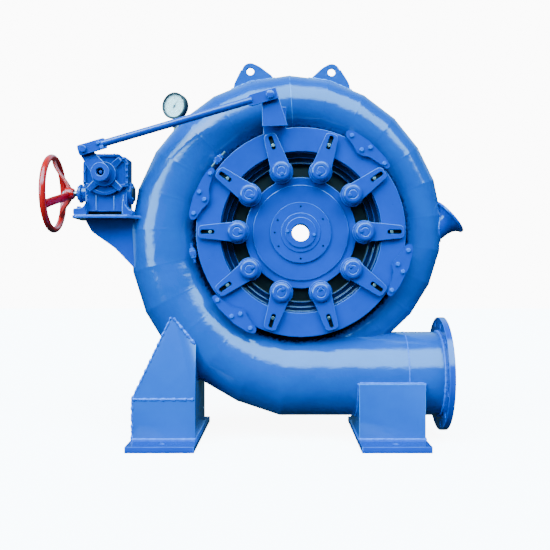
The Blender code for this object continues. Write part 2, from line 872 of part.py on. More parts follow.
def make_gearbox_housing():
    """A cast box with a square cover, a cross tube for the worm and two feet."""
    middle = (HOUSING_LEFT + HOUSING_RIGHT) / 2
    half = (HOUSING_RIGHT - HOUSING_LEFT) / 2
    upper = box_mesh(
        "gearbox_housing",
        (HOUSING_LEFT + 0.006, SHELF_TOP + 0.012, HOUSING_BACK),
        (HOUSING_RIGHT - 0.010, COVER_TOP - 0.008, HOUSING_FRONT),
    )
    housing = part("gearbox_housing", upper, BLUE)
    corner = 0.022
    cover_outline = [
        (cx + x, cy + y)
        for cx, cy, start in (
            (HOUSING_RIGHT - corner, COVER_TOP - corner, 0),
            (HOUSING_LEFT + corner, COVER_TOP - corner, 90),
            (HOUSING_LEFT + corner, COVER_LOW + corner, 180),
            (HOUSING_RIGHT - corner, COVER_LOW + corner, 270),
        )
        for x, y in circle_points(corner, 16, start=math.radians(start))[:5]
    ]
    cover = slab_mesh("gearbox_cover", [cover_outline], HOUSING_FRONT - 0.005, COVER_FRONT)
    boss = cylinder_mesh("shaft_boss", 0.046, COVER_FRONT - 0.004, 0.158, 24)
    worm = cylinder_mesh("worm_tube", 0.035, -0.114, -0.050, 24)
    nose = cylinder_mesh("worm_nose", 0.024, -0.122, -0.090, 20)
    worm_place = (middle, WORM_HEIGHT, WORM_DEPTH)
    along_x = (0, math.pi / 2, 0)
    left_pad = box_mesh(
        "left_pad", (-0.848, SHELF_TOP + SEAT, PAD_BACK), (-0.800, SHELF_TOP + 0.026, 0.136)
    )
    right_pad = box_mesh(
        "right_pad", (-0.690, SHELF_TOP + SEAT, PAD_BACK), (middle + half, SHELF_TOP + 0.022, 0.136)
    )
    join(
        housing,
        placed("gearbox_cover", cover),
        placed("shaft_boss", boss, (*SHAFT, 0)),
        placed("worm_tube", worm, worm_place, along_x),
        placed("worm_nose", nose, worm_place, along_x),
        placed("left_pad", left_pad),
        placed("right_pad", right_pad),
    )
    add_cover_ribs(housing)
    shaft_hole = cylinder_mesh("worm_hole", 0.0103, -0.130, -0.030, 16)
    crank_hole = cylinder_mesh("crank_hole", 0.0203, 0.100, 0.180, 20)
    cut(
        housing,
        placed("worm_hole", shaft_hole, worm_place, along_x),
        placed("crank_hole", crank_hole, (*SHAFT, 0)),
    )


def add_cover_ribs(housing):
    for angle in (45, 225, 315):
        rib = box_mesh("cover_rib", (0.040, -0.008, COVER_FRONT - 0.004), (0.088, 0.008, COVER_FRONT + 0.007))
        turn = (0, 0, math.radians(angle))
        join(housing, placed(f"cover_rib_{angle}", rib, (*SHAFT, 0), turn))


def make_worm_cap():
    mesh = cylinder_mesh("worm_end_cap", 0.042, SEAT, 0.017, 24)
    place = (HOUSING_RIGHT - 0.010, WORM_HEIGHT, WORM_DEPTH)
    part("worm_end_cap", mesh, BLACK, place, (0, math.pi / 2, 0))


def make_crank():
    """The output crank. It turns about the gearbox's shaft and carries the rod's first pin."""
    length = math.dist(SHAFT, CRANK_PIN)
    direction = math.atan2(CRANK_PIN[1] - SHAFT[1], CRANK_PIN[0] - SHAFT[0])
    hub = cylinder_mesh("crank_arm", 0.034, 0.1635, HUB_OUT, 28)
    crank = part("crank_arm", hub, BLUE, (*SHAFT, 0), (0, 0, direction))
    end = circle_points(0.022, 16, (length, 0), -math.pi / 2)[:9]
    root = circle_points(0.030, 16, (0, 0), math.pi / 2)[:9]
    plate = slab_mesh("crank_plate", [end + root], CRANK_BACK, CRANK_FRONT)
    shaft = cylinder_mesh("crank_shaft", 0.0195, 0.102, 0.170, 20)
    pin = cylinder_mesh("crank_pin", PIVOT_RADIUS, CRANK_BACK + 0.002, 0.2262, 16)
    head = cylinder_mesh("crank_pin_head", 0.0135, 0.2222, 0.230, 12)
    pin_place = (*CRANK_PIN, 0)
    socket = cylinder_mesh("hub_socket", 0.014, HUB_OUT - 0.012, HUB_OUT + 0.01, 16)
    join(
        crank,
        placed("crank_plate", plate, (*SHAFT, 0), (0, 0, direction)),
        placed("crank_shaft", shaft, (*SHAFT, 0)),
        placed("crank_pin", pin, pin_place),
        placed("crank_pin_head", head, pin_place),
    )
    cut(crank, placed("hub_socket", socket, (*SHAFT, 0)))


def make_link_rod():
    """A tube with a flat bar at each end, along local x from the crank's pin."""
    length = math.dist(CRANK_PIN, ARM_PIN)
    direction = math.atan2(ARM_PIN[1] - CRANK_PIN[1], ARM_PIN[0] - CRANK_PIN[0])
    low = ROD_DEPTH - ROD_END_HALF
    high = ROD_DEPTH + ROD_END_HALF
    round_hole = circle_points(PIVOT_RADIUS + 0.0005, 16)
    first = [(-0.020, -0.014), (-0.014, -0.020), (0.086, -0.020), (0.086, 0.020), (-0.014, 0.020), (-0.020, 0.014)]
    mesh = slab_mesh("link_rod", [first, round_hole], low, high)
    rod = part("link_rod", mesh, BLUE, (*CRANK_PIN, 0), (0, 0, direction))
    second = [(length - 0.088, -0.015), (length - 0.072, -0.021), (length + 0.022, -0.021)]
    second += [(length + 0.027, -0.014), (length + 0.027, 0.021), (length - 0.072, 0.021), (length - 0.088, 0.013)]
    end = slab_mesh("rod_second_end", [second, open_pivot_outline(length)], low, high)
    tube = cylinder_mesh("rod_tube", ROD_RADIUS, 0.070, length - 0.066, 16)
    along = Matrix.Rotation(math.pi / 2, 4, "Y")
    tube.transform(Matrix.Translation((0, 0, ROD_DEPTH)) @ along)
    place = (*CRANK_PIN, 0)
    turn = (0, 0, direction)
    join(rod, placed("rod_second_end", end, place, turn), placed("rod_tube", tube, place, turn))


def open_pivot_outline(length):
    """The rod's second hole: long across the rod, as the linkage is open at this pivot."""
    half = PIVOT_RADIUS + 0.0016
    upper = circle_points(half, 12, (length - 0.0005, 0.0060), 0)[:7]
    lower = circle_points(half, 12, (length - 0.0005, -0.0030), math.pi)[:7]
    return upper + lower


def make_handwheel():
    """A rim with three dished spokes and a hub. Its local z runs along the worm's shaft."""
    place = (WHEEL_X, WORM_HEIGHT, WORM_DEPTH)
    along_x = (0, math.pi / 2, 0)
    depth = WHEEL_HUB_X - WHEEL_X
    hub = cylinder_mesh("handwheel", 0.024, depth - 0.006, depth + 0.028, 20)
    wheel = part("handwheel", hub, RED, place, along_x)
    join(wheel, placed("wheel_rim", rim_mesh(), place, along_x))
    for spoke in range(3):
        turn = math.radians(FIRST_SPOKE + 120 * spoke)
        mesh = spoke_mesh(turn, depth)
        join(wheel, placed(f"wheel_spoke_{spoke + 1}", mesh, place, along_x))
    hole = cylinder_mesh("wheel_hole", 0.0103, depth + 0.006, depth + 0.05, 16)
    cut(wheel, placed("wheel_hole", hole, place, along_x))


def rim_mesh():
    def build(bm):
        rows = []
        for i in range(36):
            turn = math.tau * i / 36
            row = []
            for j in range(10):
                lean = math.tau * j / 10
                radius = WHEEL_RADIUS + WHEEL_ROD * math.cos(lean)
                z = WHEEL_ROD * math.sin(lean)
                row.append(bm.verts.new((radius * math.cos(turn), radius * math.sin(turn), z)))
            rows.append(row)
        for i, row in enumerate(rows):
            following = rows[(i + 1) % 36]
            for j in range(10):
                k = (j + 1) % 10
                bm.faces.new((row[j], following[j], following[k], row[k]))
        bmesh.ops.recalc_face_normals(bm, faces=bm.faces)

    return mesh_from(build, "wheel_rim")


def spoke_mesh(turn, depth):
    """A flat tapering bar from the hub out to the rim."""
    direction = np.array((math.cos(turn), math.sin(turn), 0))
    across = np.array((-math.sin(turn), math.cos(turn), 0))
    inner = direction * 0.014 + np.array((0, 0, depth + 0.008))
    outer = direction * (WHEEL_RADIUS - 0.002)
    rings = []
    for centre, half_width, half_thick in ((inner, 0.013, 0.007), (outer, 0.011, 0.005)):
        normal = np.array((0, 0, 1.0))
        corners = ((-1, -1), (1, -1), (1, 1), (-1, 1))
        rings.append([tuple(centre + across * a * half_width + normal * b * half_thick) for a, b in corners])
    return loft_mesh("wheel_spoke", rings)


def make_worm_shaft():
    mesh = cylinder_mesh("worm_shaft", 0.0100, 0, 0.118, 16)
    place = (WHEEL_HUB_X + 0.0065, WORM_HEIGHT, WORM_DEPTH)
    part("worm_shaft", mesh, BARE, place, (0, math.pi / 2, 0))


# Pressure gauge

def make_gauge():
    turn = (0, -math.radians(GAUGE_TURN), 0)
    place = (*GAUGE, GAUGE_DEPTH)
    case = cylinder_mesh("gauge_case", GAUGE_RADIUS, -GAUGE_THICK / 2, GAUGE_THICK / 2, 32)
    gauge = part("pressure_gauge", case, BLACK, place, turn)
    glass = cylinder_mesh("gauge_well", GAUGE_RADIUS - 0.005, GAUGE_THICK / 2 - 0.006, GAUGE_THICK, 32)
    cut(gauge, placed("gauge_well", glass, place, turn))
    stem_top = GAUGE[1] - GAUGE_RADIUS - SEAT
    mesh = cylinder_mesh("gauge_pipe", 0.0085, 0, 0.12, 12)
    pipe = part("gauge_pipe", mesh, BRASS, (GAUGE[0], stem_top - 0.12, GAUGE_DEPTH), (-math.pi / 2, 0, 0))
    cut(pipe, *TUBE_CUTTERS)


make_casing()
make_stay_rings()
make_inlet_pipe()
make_inlet_flange()
make_side_branch()
make_head_cover()
make_seal_housing()
make_seal_cover()
make_back_cover()
make_regulating_ring()
make_ring_arm()
make_keepers()
make_stop_screws()
make_gates()
make_base_plate("left_base_plate", LEFT_PLATE)
make_base_plate("right_base_plate", RIGHT_PLATE)
make_left_foot()
make_right_foot()
make_lifting_eyes()
make_gearbox_bracket()
make_gearbox_housing()
make_worm_cap()
make_crank()
make_link_rod()
make_handwheel()
make_worm_shaft()
make_gauge()
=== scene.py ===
# %% [markdown]
# # A small Francis turbine and its guide vane gear
#
# Water enters this turbine through the flanged pipe at the lower right, runs round the welded
# spiral and passes inwards between ten guide vanes. One ring turns all ten vanes, and a handwheel
# turns the ring through a worm gearbox, a crank and a link rod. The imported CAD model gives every
# place. This lesson gives each piece its final surface, its small parts and its finish.

# %% Load the frame
import json
import math

import bmesh
import bpy
import numpy as np
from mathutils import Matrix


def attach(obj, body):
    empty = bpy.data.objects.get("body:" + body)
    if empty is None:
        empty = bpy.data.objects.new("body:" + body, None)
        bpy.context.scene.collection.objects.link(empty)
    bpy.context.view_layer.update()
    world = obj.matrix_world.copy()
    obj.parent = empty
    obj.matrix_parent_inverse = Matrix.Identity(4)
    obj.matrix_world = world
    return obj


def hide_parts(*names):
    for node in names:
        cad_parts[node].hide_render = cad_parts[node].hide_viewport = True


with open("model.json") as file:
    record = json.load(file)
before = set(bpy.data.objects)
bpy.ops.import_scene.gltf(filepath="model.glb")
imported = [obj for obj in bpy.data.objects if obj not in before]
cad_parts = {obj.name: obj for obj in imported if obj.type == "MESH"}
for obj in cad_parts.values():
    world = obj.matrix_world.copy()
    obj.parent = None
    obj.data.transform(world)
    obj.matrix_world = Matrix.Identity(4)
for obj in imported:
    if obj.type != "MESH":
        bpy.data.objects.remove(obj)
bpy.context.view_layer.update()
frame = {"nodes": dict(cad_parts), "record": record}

turbine_axis = frame["record"]["behaviour"]["joints"][0]["pos_m"]
AXIS_X, AXIS_Z = turbine_axis[0], turbine_axis[2]
print("turbine axis at x", AXIS_X, "z", AXIS_Z)

# %% [markdown]
# Most drawings of such a machine are front views: right, up, and towards the viewer. The shapes
# below are worked out in that view, in millimetres from the turbine's axis, and one function turns
# them into the frame's coordinates. Thinking in world coordinates for each piece instead would
# make every circle round the axis harder to read.

# %% The front view


def to_world(points):
    """Front view (right, up, near) to the frame: x = axis + right, y = -near, z = axis + up."""
    right, up, near = np.moveaxis(np.asarray(points, float) / 1000, -1, 0)
    return np.stack([AXIS_X + right, -near, AXIS_Z + up], axis=-1)


def to_front(points):
    """The way back, from the frame's metres to the front view's millimetres."""
    x, y, z = np.moveaxis(np.asarray(points, float), -1, 0)
    return 1000 * np.stack([x - AXIS_X, z - AXIS_Z, -y], axis=-1)


def polar(degrees, radius):
    """Points in the front view's plane at an angle and a radius from the axis."""
    turn, radius = np.radians(degrees), np.asarray(radius)
    return np.stack([radius * np.cos(turn), radius * np.sin(turn)], axis=-1)


def at_height(flat_points, near):
    """Flat points lifted towards the viewer."""
    return np.column_stack([flat_points, np.broadcast_to(near, len(flat_points))])


def stand(points, place=(0, 0, 0), direction=(0, 0, 1), spin=0.0):
    """Turns points made round z by spin degrees, tips their z to direction, moves them to place.

    The sideways axis is the cross product of 'up' and the direction, so upright pieces stay
    upright: new point = place + x * side + y * top + z * direction.
    """
    along = np.asarray(direction, float) / np.linalg.norm(direction)
    hint = np.array((0.0, 1.0, 0.0)) if abs(along[1]) < 0.9 else np.array((1.0, 0.0, 0.0))
    side = np.cross(hint, along)
    side /= np.linalg.norm(side)
    top = np.cross(along, side)
    c, s = math.cos(math.radians(spin)), math.sin(math.radians(spin))
    x, y, z = np.moveaxis(points, -1, 0)
    x, y = c * x - s * y, s * x + c * y
    start = np.asarray((*place, 0)[:3], float)
    return start + x[..., None] * side + y[..., None] * top + z[..., None] * along


# %% [markdown]
# Every new surface starts as a grid: rows of points that follow one parameter, columns that
# follow another. Joining each point to its neighbours gives the faces. A grid can close on itself
# in one direction, like a tube, or in both, like a ring, and its ends can be capped.

# %% Grids


def skin(grid, along=False, caps=True):
    """Quads between neighbouring rows and columns. Columns always close; rows close if along."""
    rows, columns = grid.shape[:2]
    index = np.arange(rows * columns).reshape(rows, columns)
    looped = np.vstack([index, index[:1]]) if along else index
    looped = np.hstack([looped, looped[:, :1]])
    quads = [looped[:-1, :-1], looped[:-1, 1:], looped[1:, 1:], looped[1:, :-1]]
    faces = np.stack(quads, axis=-1).reshape(-1, 4).tolist()
    if caps and not along:
        faces += [index[0, ::-1].tolist(), index[-1].tolist()]
    return grid.reshape(-1, 3), faces


def softened(corners, cut, steps=3, closed=True):
    """Rounds the corners of an outline with short parabolas.

    Each corner P with neighbours A and B becomes (1-t)^2 a + 2t(1-t) P + t^2 b, where a and b lie
    'cut' back from P on both sides. A point just beyond a and b keeps the flats flat in shading.
    """
    corners = np.asarray(corners, float)
    back, ahead = np.roll(corners, 1, 0) - corners, np.roll(corners, -1, 0) - corners
    back_long, ahead_long = np.linalg.norm(back, axis=1), np.linalg.norm(ahead, axis=1)
    room = 0.42 * np.minimum(back_long, ahead_long)
    reach = np.minimum(np.broadcast_to(cut, len(corners)), room)
    a = corners + back * (reach / back_long)[:, None]
    b = corners + ahead * (reach / ahead_long)[:, None]
    t = np.linspace(0, 1, steps + 1)[None, :, None]
    arc = (1 - t) ** 2 * a[:, None] + 2 * t * (1 - t) * corners[:, None] + t**2 * b[:, None]
    guard = np.minimum(0.6, 0.1 * reach + 0.001)
    first = (corners + back * ((reach + guard) / back_long)[:, None])[:, None]
    last = (corners + ahead * ((reach + guard) / ahead_long)[:, None])[:, None]
    rounded = np.concatenate([first, arc, last], axis=1)
    if closed:
        return rounded.reshape(-1, corners.shape[1])
    return np.vstack([corners[:1], rounded[1:-1].reshape(-1, corners.shape[1]), corners[-1:]])


def turned(corners, cut=None, sides=96, steps=3):
    """A profile of (radius, height), as on a lathe: x = r cos a, y = r sin a, z = height.

    A profile that starts on the axis gives a solid piece, and any other gives a ring.
    """
    ring = corners[0][0] > 0
    profile = np.asarray(corners, float) if cut is None else softened(corners, cut, steps, ring)
    angle = np.linspace(0, math.tau, sides, endpoint=False)
    radius, height = profile[:, :1], profile[:, 1:]
    grid = np.stack([radius * np.cos(angle), radius * np.sin(angle), height + 0 * angle], axis=-1)
    return skin(grid, along=ring, caps=False)


def inset(outline, amount):
    """Moves a flat counterclockwise outline inwards: each point goes along its mean normal."""
    edge = np.roll(outline, -1, 0) - outline
    edge /= np.linalg.norm(edge, axis=1)[:, None]
    normal = np.stack([-edge[:, 1], edge[:, 0]], axis=1)
    both = normal + np.roll(normal, 1, 0)
    return outline + amount * 2 * both / (both**2).sum(1)[:, None]


def carried(outline, profile, along=False):
    """A profile of (inset, height) carried round a flat outline, as a moulding is round a frame."""
    return skin(np.stack([at_height(inset(outline, i), z) for i, z in profile]), along=along)


def plate(outline, low, high, edge=1.5):
    """A flat plate with rounded rims: the outline carried along a profile with two small arcs."""
    turn = np.linspace(0, math.pi / 2, 3)
    inwards, rise = edge * (1 - np.sin(turn)), edge * (1 - np.cos(turn))
    lower = np.stack([inwards, low + rise], axis=1)
    upper = np.stack([inwards, high - rise], axis=1)[::-1]
    flat = edge + 0.5
    return carried(outline, np.vstack([[(flat, low)], lower, upper, [(flat, high)]]))


def block(low, high, cut=3.0):
    """A box with softened upright edges and rounded rims."""
    (x0, y0, z0), (x1, y1, z1) = low, high
    outline = softened([(x0, y0), (x1, y0), (x1, y1), (x0, y1)], cut)
    return plate(outline, z0, z1, min(2.0, cut))


# %% [markdown]
# A finished piece is one object at the origin, with its place in its mesh, which rides on the
# body that carries it. Doubled points are merged first and the normals are then worked out
# again, so that poles and seams are closed and every face points outwards.

# %% From grids to pieces


def joined(*parts):
    """Several (points, faces) pairs as one."""
    starts = np.cumsum([0] + [len(points) for points, _ in parts])
    faces = [[i + start for i in face] for (_, fs), start in zip(parts, starts) for face in fs]
    return np.concatenate([points for points, _ in parts]), faces


def moved(part, *place, **turn):
    """The same (points, faces) stood somewhere else."""
    return stand(part[0], *place, **turn), part[1]


def scattered(part, places, direction=(0, 0, 1), step=23.0):
    """The same small part at many places, each turned by a step more, as bolts come to rest."""
    return joined(*[moved(part, place, direction, step * k) for k, place in enumerate(places)])


def as_mesh(shape):
    """A merged mesh in the frame's coordinates, with its faces turned outwards."""
    if not isinstance(shape, tuple):
        return shape
    mesh = bpy.data.meshes.new("part")
    mesh.from_pydata(to_world(shape[0]).tolist(), [], shape[1])
    bm = bmesh.new()
    bm.from_mesh(mesh)
    bmesh.ops.remove_doubles(bm, verts=bm.verts, dist=1e-6)
    bmesh.ops.recalc_face_normals(bm, faces=bm.faces)
    bm.to_mesh(mesh)
    bm.free()
    return mesh


def finished_mesh(thing):
    """An object's mesh with its modifiers worked out. The object is used up."""
    graph = bpy.context.evaluated_depsgraph_get()
    mesh = bpy.data.meshes.new_from_object(thing.evaluated_get(graph))
    bpy.data.objects.remove(thing)
    return mesh


def placed(name, data):
    """A new object in the scene."""
    thing = bpy.data.objects.new(name, data)
    bpy.context.scene.collection.objects.link(thing)
    return thing


def carved(shape, other, operation="DIFFERENCE"):
    """One exact Boolean, worked out at once."""
    body, tool = placed("body", as_mesh(shape)), placed("tool", as_mesh(other))
    step = body.modifiers.new("step", "BOOLEAN")
    step.operation, step.solver, step.object = operation, "EXACT", tool
    result = finished_mesh(body)
    bpy.data.objects.remove(tool)
    return result


def united(shape, *others):
    """Exact unions, one after another."""
    for other in others:
        shape = carved(shape, other, "UNION")
    return shape


def values_of(collection, key, kind=np.float32, width=1):
    """One property of many mesh elements as an array."""
    values = np.empty(len(collection) * width, kind)
    collection.foreach_get(key, values)
    return values.reshape(-1, width) if width > 1 else values


def store(mesh, name, values):
    """One number for each vertex, which a material can read."""
    attribute = mesh.attributes.new(name, "FLOAT", "POINT")
    attribute.data.foreach_set("value", values.astype(np.float32))


LARGE_FACE, LARGE_RAGGED_FACE = 0.004, 0.0004  # square metres


def mark_rims(mesh):
    """Stores how sharply the surface bends outwards at each vertex, for the painted rim highlight.

    Along an edge between faces with normals m and n: bend = arccos(m . n), counted only where
    the second face's centre lies behind the first face. rim = (bend - 12 deg) / 16 deg, 0 to 1,
    and 0 round a large face, or one of many sides that isn't nearly round, where it would smear.
    Roundness = 4 pi area / perimeter^2.
    """
    edge_of_loop = values_of(mesh.loops, "edge_index", np.int32)
    sides = values_of(mesh.polygons, "loop_total", np.int32)
    face_of_loop = np.repeat(np.arange(len(sides)), sides)
    order = np.argsort(edge_of_loop, kind="stable")
    edges, faces = edge_of_loop[order], face_of_loop[order]
    pair = np.flatnonzero(edges[:-1] == edges[1:])
    first, second = faces[pair], faces[pair + 1]
    normals = values_of(mesh.polygons, "normal", np.float32, 3)
    centres = values_of(mesh.polygons, "center", np.float32, 3)
    bend = np.degrees(np.arccos(np.clip((normals[first] * normals[second]).sum(1), -1, 1)))
    outwards = ((centres[second] - centres[first]) * normals[first]).sum(1) < 0
    ends = values_of(mesh.edges, "vertices", np.int32, 2)
    rim = np.zeros(len(mesh.vertices), np.float32)
    np.maximum.at(rim, ends[edges[pair]].ravel(), np.repeat(np.where(outwards, bend, 0), 2))
    one, two = values_of(mesh.vertices, "co", np.float32, 3)[ends.T]
    around = np.bincount(face_of_loop, np.linalg.norm(two - one, axis=1)[edge_of_loop])
    area = values_of(mesh.polygons, "area")
    uneven = 4 * math.pi * area < 0.8 * around**2
    smeared = (sides > 5) & ((area > LARGE_RAGGED_FACE) | uneven) | (area > LARGE_FACE)
    rim[values_of(mesh.loops, "vertex_index", np.int32)[np.repeat(smeared, sides)]] = 0
    store(mesh, "rim", np.clip((rim - 12) / 16, 0, 1))


def piece(name, shape, stands_for=(), finish=None, body="casing", crease=35):
    """Puts a shape into the scene as a piece that rides on a body and may stand for CAD nodes."""
    mesh = as_mesh(shape)
    mesh.name = name
    mark_rims(mesh)
    mesh.shade_smooth()
    mesh.set_sharp_from_angle(angle=math.radians(crease))
    thing = placed(name, mesh)
    mesh.materials.clear()
    mesh.materials.append(finish or BLUE)
    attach(thing, body)
    if stands_for:
        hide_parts(*stands_for)
    print(f"{name}: {len(mesh.polygons)} faces, {np.round(1000 * np.array(thing.dimensions))} mm")
    return thing


# %% [markdown]
# The camera stands where the picture seems to have been taken from: 3 m before the machine,
# 0.63 m above the floor, and level. A little shift puts the machine where it sits in the frame,
# without turning the camera, so that upright edges stay upright.

# %% Camera
PICTURE, FOCAL, CENTRE_RIGHT, CENTRE_DOWN = 550, 763, 283, 276.7  # pixels
camera_data = bpy.data.cameras.new("front_camera")
camera_data.sensor_width = 36
camera_data.lens = 36 * FOCAL / PICTURE
camera_data.shift_x = (PICTURE / 2 - CENTRE_RIGHT) / PICTURE
camera_data.shift_y = (CENTRE_DOWN - PICTURE / 2) / PICTURE
camera = placed("front_camera", camera_data)
camera.location = (0.090, -3.0, 0.626)
camera.rotation_euler = (math.pi / 2, 0, 0)
bpy.context.scene.camera = camera
print("camera lens", round(camera_data.lens, 1), "mm")

# %% [markdown]
# Colours are written as sRGB hex values, as a paint card gives them, and one function turns them
# to the linear values that the shader wants. One more function adds a node, sets its values and
# makes its links, which keeps each material readable from top to bottom.

# %% Colour and nodes


def paint_card(code):
    """sRGB hex to linear: a straight piece below 0.04045, a 2.4 power above."""
    value = np.array([int(code[i : i + 2], 16) for i in (1, 3, 5)]) / 255
    linear = np.where(value <= 0.04045, value / 12.92, ((value + 0.055) / 1.055) ** 2.4)
    return (*linear.tolist(), 1.0)


def plug(tree, made, **inputs):
    """Fills a node's inputs. Names have _ for spaces, in0 and in1 count them, and text is a colour.

    A node as a value stands for its first output.
    """
    for key, value in inputs.items():
        socket = made.inputs[int(key[2:]) if key[:2] == "in" else key.replace("_", " ")]
        value = value.outputs[0] if isinstance(value, bpy.types.Node) else value
        if isinstance(value, bpy.types.NodeSocket):
            tree.links.new(value, socket)
        else:
            socket.default_value = paint_card(value) if isinstance(value, str) else value


def node(tree, kind, settings=None, **inputs):
    """Adds one node, with its settings and its inputs."""
    made = tree.nodes.new("ShaderNode" + kind)
    for key, value in (settings or {}).items():
        setattr(made, key, value)
    plug(tree, made, **inputs)
    return made


TIMES, LARGER, COLOURS = {"operation": "MULTIPLY"}, {"operation": "MAXIMUM"}, {"data_type": "RGBA"}
TIMES_PLUS = {"operation": "MULTIPLY_ADD"}


def new_finish(name):
    """A new material, its nodes, its shader and the object's own coordinates."""
    material = bpy.data.materials.new(name)
    material.use_nodes = True
    tree = material.node_tree
    place = node(tree, "TexCoord").outputs["Object"]
    return material, tree, tree.nodes["Principled BSDF"], place


print("enamel blue, linear:", np.round(paint_card("#003A94"), 3))

# %% [markdown]
# Glossy paint shows its surroundings as mirror images, so the light is the drawing here. The world
# is a dim studio with one wide soft box before and above the machine, 20 to 75 degrees up. It
# draws the pale band along the upper side of each tube, and the dim rest keeps the enamel deep. A
# round lamp low on the left draws the long streak down the left side of the spiral, and a faint
# glow from behind shows the back. The camera itself sees a plain pale backdrop, which the world's
# light path node tells apart, and the floor glows evenly, as a light table does. The paint
# doesn't mirror it.

# %% Light and floor
room = bpy.data.worlds.new("studio_with_soft_box")
room.use_nodes = True
sky = room.node_tree
heading = node(sky, "TexCoord").outputs["Generated"]
way = node(sky, "SeparateXYZ", Vector=heading)
right, back, up = way.outputs["X"], way.outputs["Y"], way.outputs["Z"]
above = node(sky, "MapRange", Value=up, in1=0.34, in2=0.44)
below = node(sky, "MapRange", Value=up, in1=0.98, in2=0.93)
sideways = node(sky, "Math", {"operation": "ABSOLUTE"}, in0=right)
ahead = node(sky, "Math", TIMES_PLUS, in0=sideways, in1=0.55, in2=back)
front = node(sky, "MapRange", Value=ahead, in1=0.0, in2=-0.1)
tall = node(sky, "Math", TIMES, in0=above, in1=below)
box = node(sky, "Math", TIMES, in0=tall, in1=front)
to_lamp = node(
    sky, "VectorMath", {"operation": "DOT_PRODUCT"}, in0=heading, in1=(-0.771, -0.602, 0.208)
)
side_lamp = node(sky, "MapRange", Value=to_lamp.outputs["Value"], in1=0.945, in2=0.965)
high = node(sky, "MapRange", Value=up, in1=0.2, in2=0.4, in4=0.12)
rear = node(sky, "MapRange", Value=back, in1=0.15, in2=0.7)
behind = node(sky, "Math", TIMES, in0=high, in1=rear)
lamps = node(sky, "Math", LARGER, in0=box, in1=side_lamp)
both = node(sky, "Math", LARGER, in0=lamps, in1=behind)
glow = node(sky, "MapRange", Value=both, in3=0.10, in4=16.0)
seen = node(sky, "LightPath").outputs["Is Camera Ray"]
strength = node(sky, "Mix", in0=seen, in2=glow, in3=11.0)
tint = node(sky, "Mix", COLOURS, in0=seen, in6="#8EDCFF", in7="#FFFFFF")
plug(sky, sky.nodes["Background"], Strength=strength, Color=tint.outputs[2])
bpy.context.scene.world = room

key_data = bpy.data.lights.new("soft_key", "AREA")
key_data.shape, key_data.size, key_data.size_y, key_data.energy = "RECTANGLE", 1.6, 1.0, 22
key = placed("soft_key", key_data)
key.location, key.rotation_euler = (-1.6, -2.6, 3.2), (math.radians(50), 0, math.radians(-33))

span = np.linspace(-12, 12, 13)
floor_x, floor_y = np.meshgrid(span, span, indexing="ij")
floor_points = np.stack([floor_x, floor_y, 0 * floor_x - 0.0005], axis=-1).reshape(-1, 3)
corner = (np.arange(12)[:, None] * 13 + np.arange(12)).ravel()
floor_faces = np.stack([corner, corner + 13, corner + 14, corner + 1], axis=1)
floor_mesh = bpy.data.meshes.new("pale_floor")
floor_mesh.from_pydata(floor_points.tolist(), [], floor_faces.tolist())
floor = placed("pale_floor", floor_mesh)
floor.visible_diffuse = floor.visible_glossy = False
floor_finish, tree, shader, place = new_finish("pale_matt_floor")
grain = node(tree, "TexNoise", Vector=place, Scale=60.0, Detail=3.0)
rough = node(tree, "Bump", Height=grain, Strength=0.05, Distance=0.001)
plug(tree, shader, Base_Color=(0.9, 0.9, 0.9, 1), Roughness=0.9, Normal=rough)
plug(tree, shader, Emission_Color=(1, 1, 1, 1), Emission_Strength=8.4)
floor_mesh.materials.append(floor_finish)
print("floor", len(floor_faces), "faces")

# %% [markdown]
# The machine is painted with gloss enamel, by spray and brush, over ground welds and filler.
# That gives the eye three things: clear reflections in one glossy skin, a fine orange peel 3 to
# 4 mm across that breaks their edges, and slow dents 40 to 90 mm across where the steel was rolled
# and ground. The tone drifts a little in clouds 100 mm across. The rims are paler, broken by
# noise: a painted highlight, and the enamel drawn thin over an edge. In the corner under the ring
# a painted shade turns it nearly black, least at the top. The same recipe serves four blues and
# the red, and with a rough surface a satin black.

# %% Gloss enamel


def gloss_enamel(name, body, shade, rim, peel=0.16, dents=0.0, rough=0.14):
    """Enamel of a body colour that varies to a shade, with a painted highlight on rims, painted shade
    under the ring, peel and dents.
    """
    material, tree, shader, place = new_finish(name)
    cloud = node(tree, "TexNoise", Vector=place, Scale=9.0, Detail=4.0, Roughness=0.6)
    tone = node(tree, "MapRange", Value=cloud, in1=0.35, in2=0.7, in3=0.0, in4=0.5)
    flat = node(tree, "Mix", COLOURS, in0=tone, in6=body, in7=shade)
    # Painted highlight: the pale rim colour is mixed in where the surface bends outwards, broken by
    # noise, together with thin enamel on the edge.
    form = node(tree, "Attribute", {"attribute_name": "rim"}).outputs["Fac"]
    patch_noise = node(tree, "TexNoise", Vector=place, Scale=70.0, Detail=3.0)
    wear = node(tree, "Math", TIMES, in0=form, in1=patch_noise)
    with_rim_highlight = node(tree, "Mix", COLOURS, in0=wear, in6=flat.outputs[2], in7=rim)
    # Painted shade: near-black is mixed in by the under-ring attribute, in patches of noise.
    ring_shade_amount = node(tree, "Attribute", {"attribute_name": "soil"}).outputs["Fac"]
    patchy = node(tree, "Math", TIMES_PLUS, in0=patch_noise, in1=0.8, in2=ring_shade_amount)
    cover = node(tree, "MapRange", Value=patchy, in1=0.65, in2=1.0, in4=0.94)
    with_ring_shade = node(tree, "Mix", COLOURS, in0=cover, in6=with_rim_highlight.outputs[2], in7="#04060A")
    orange = node(tree, "TexNoise", Vector=place, Scale=280.0, Detail=2.0)
    first = node(tree, "Bump", Height=orange, Strength=peel, Distance=0.0004)
    slow = node(tree, "TexNoise", Vector=place, Scale=17.0, Detail=3.0, Roughness=0.55)
    second = node(tree, "Bump", Height=slow, Normal=first, Strength=dents, Distance=0.006)
    plug(tree, shader, Base_Color=with_ring_shade.outputs[2], Roughness=rough, IOR=1.58, Normal=second)
    return material


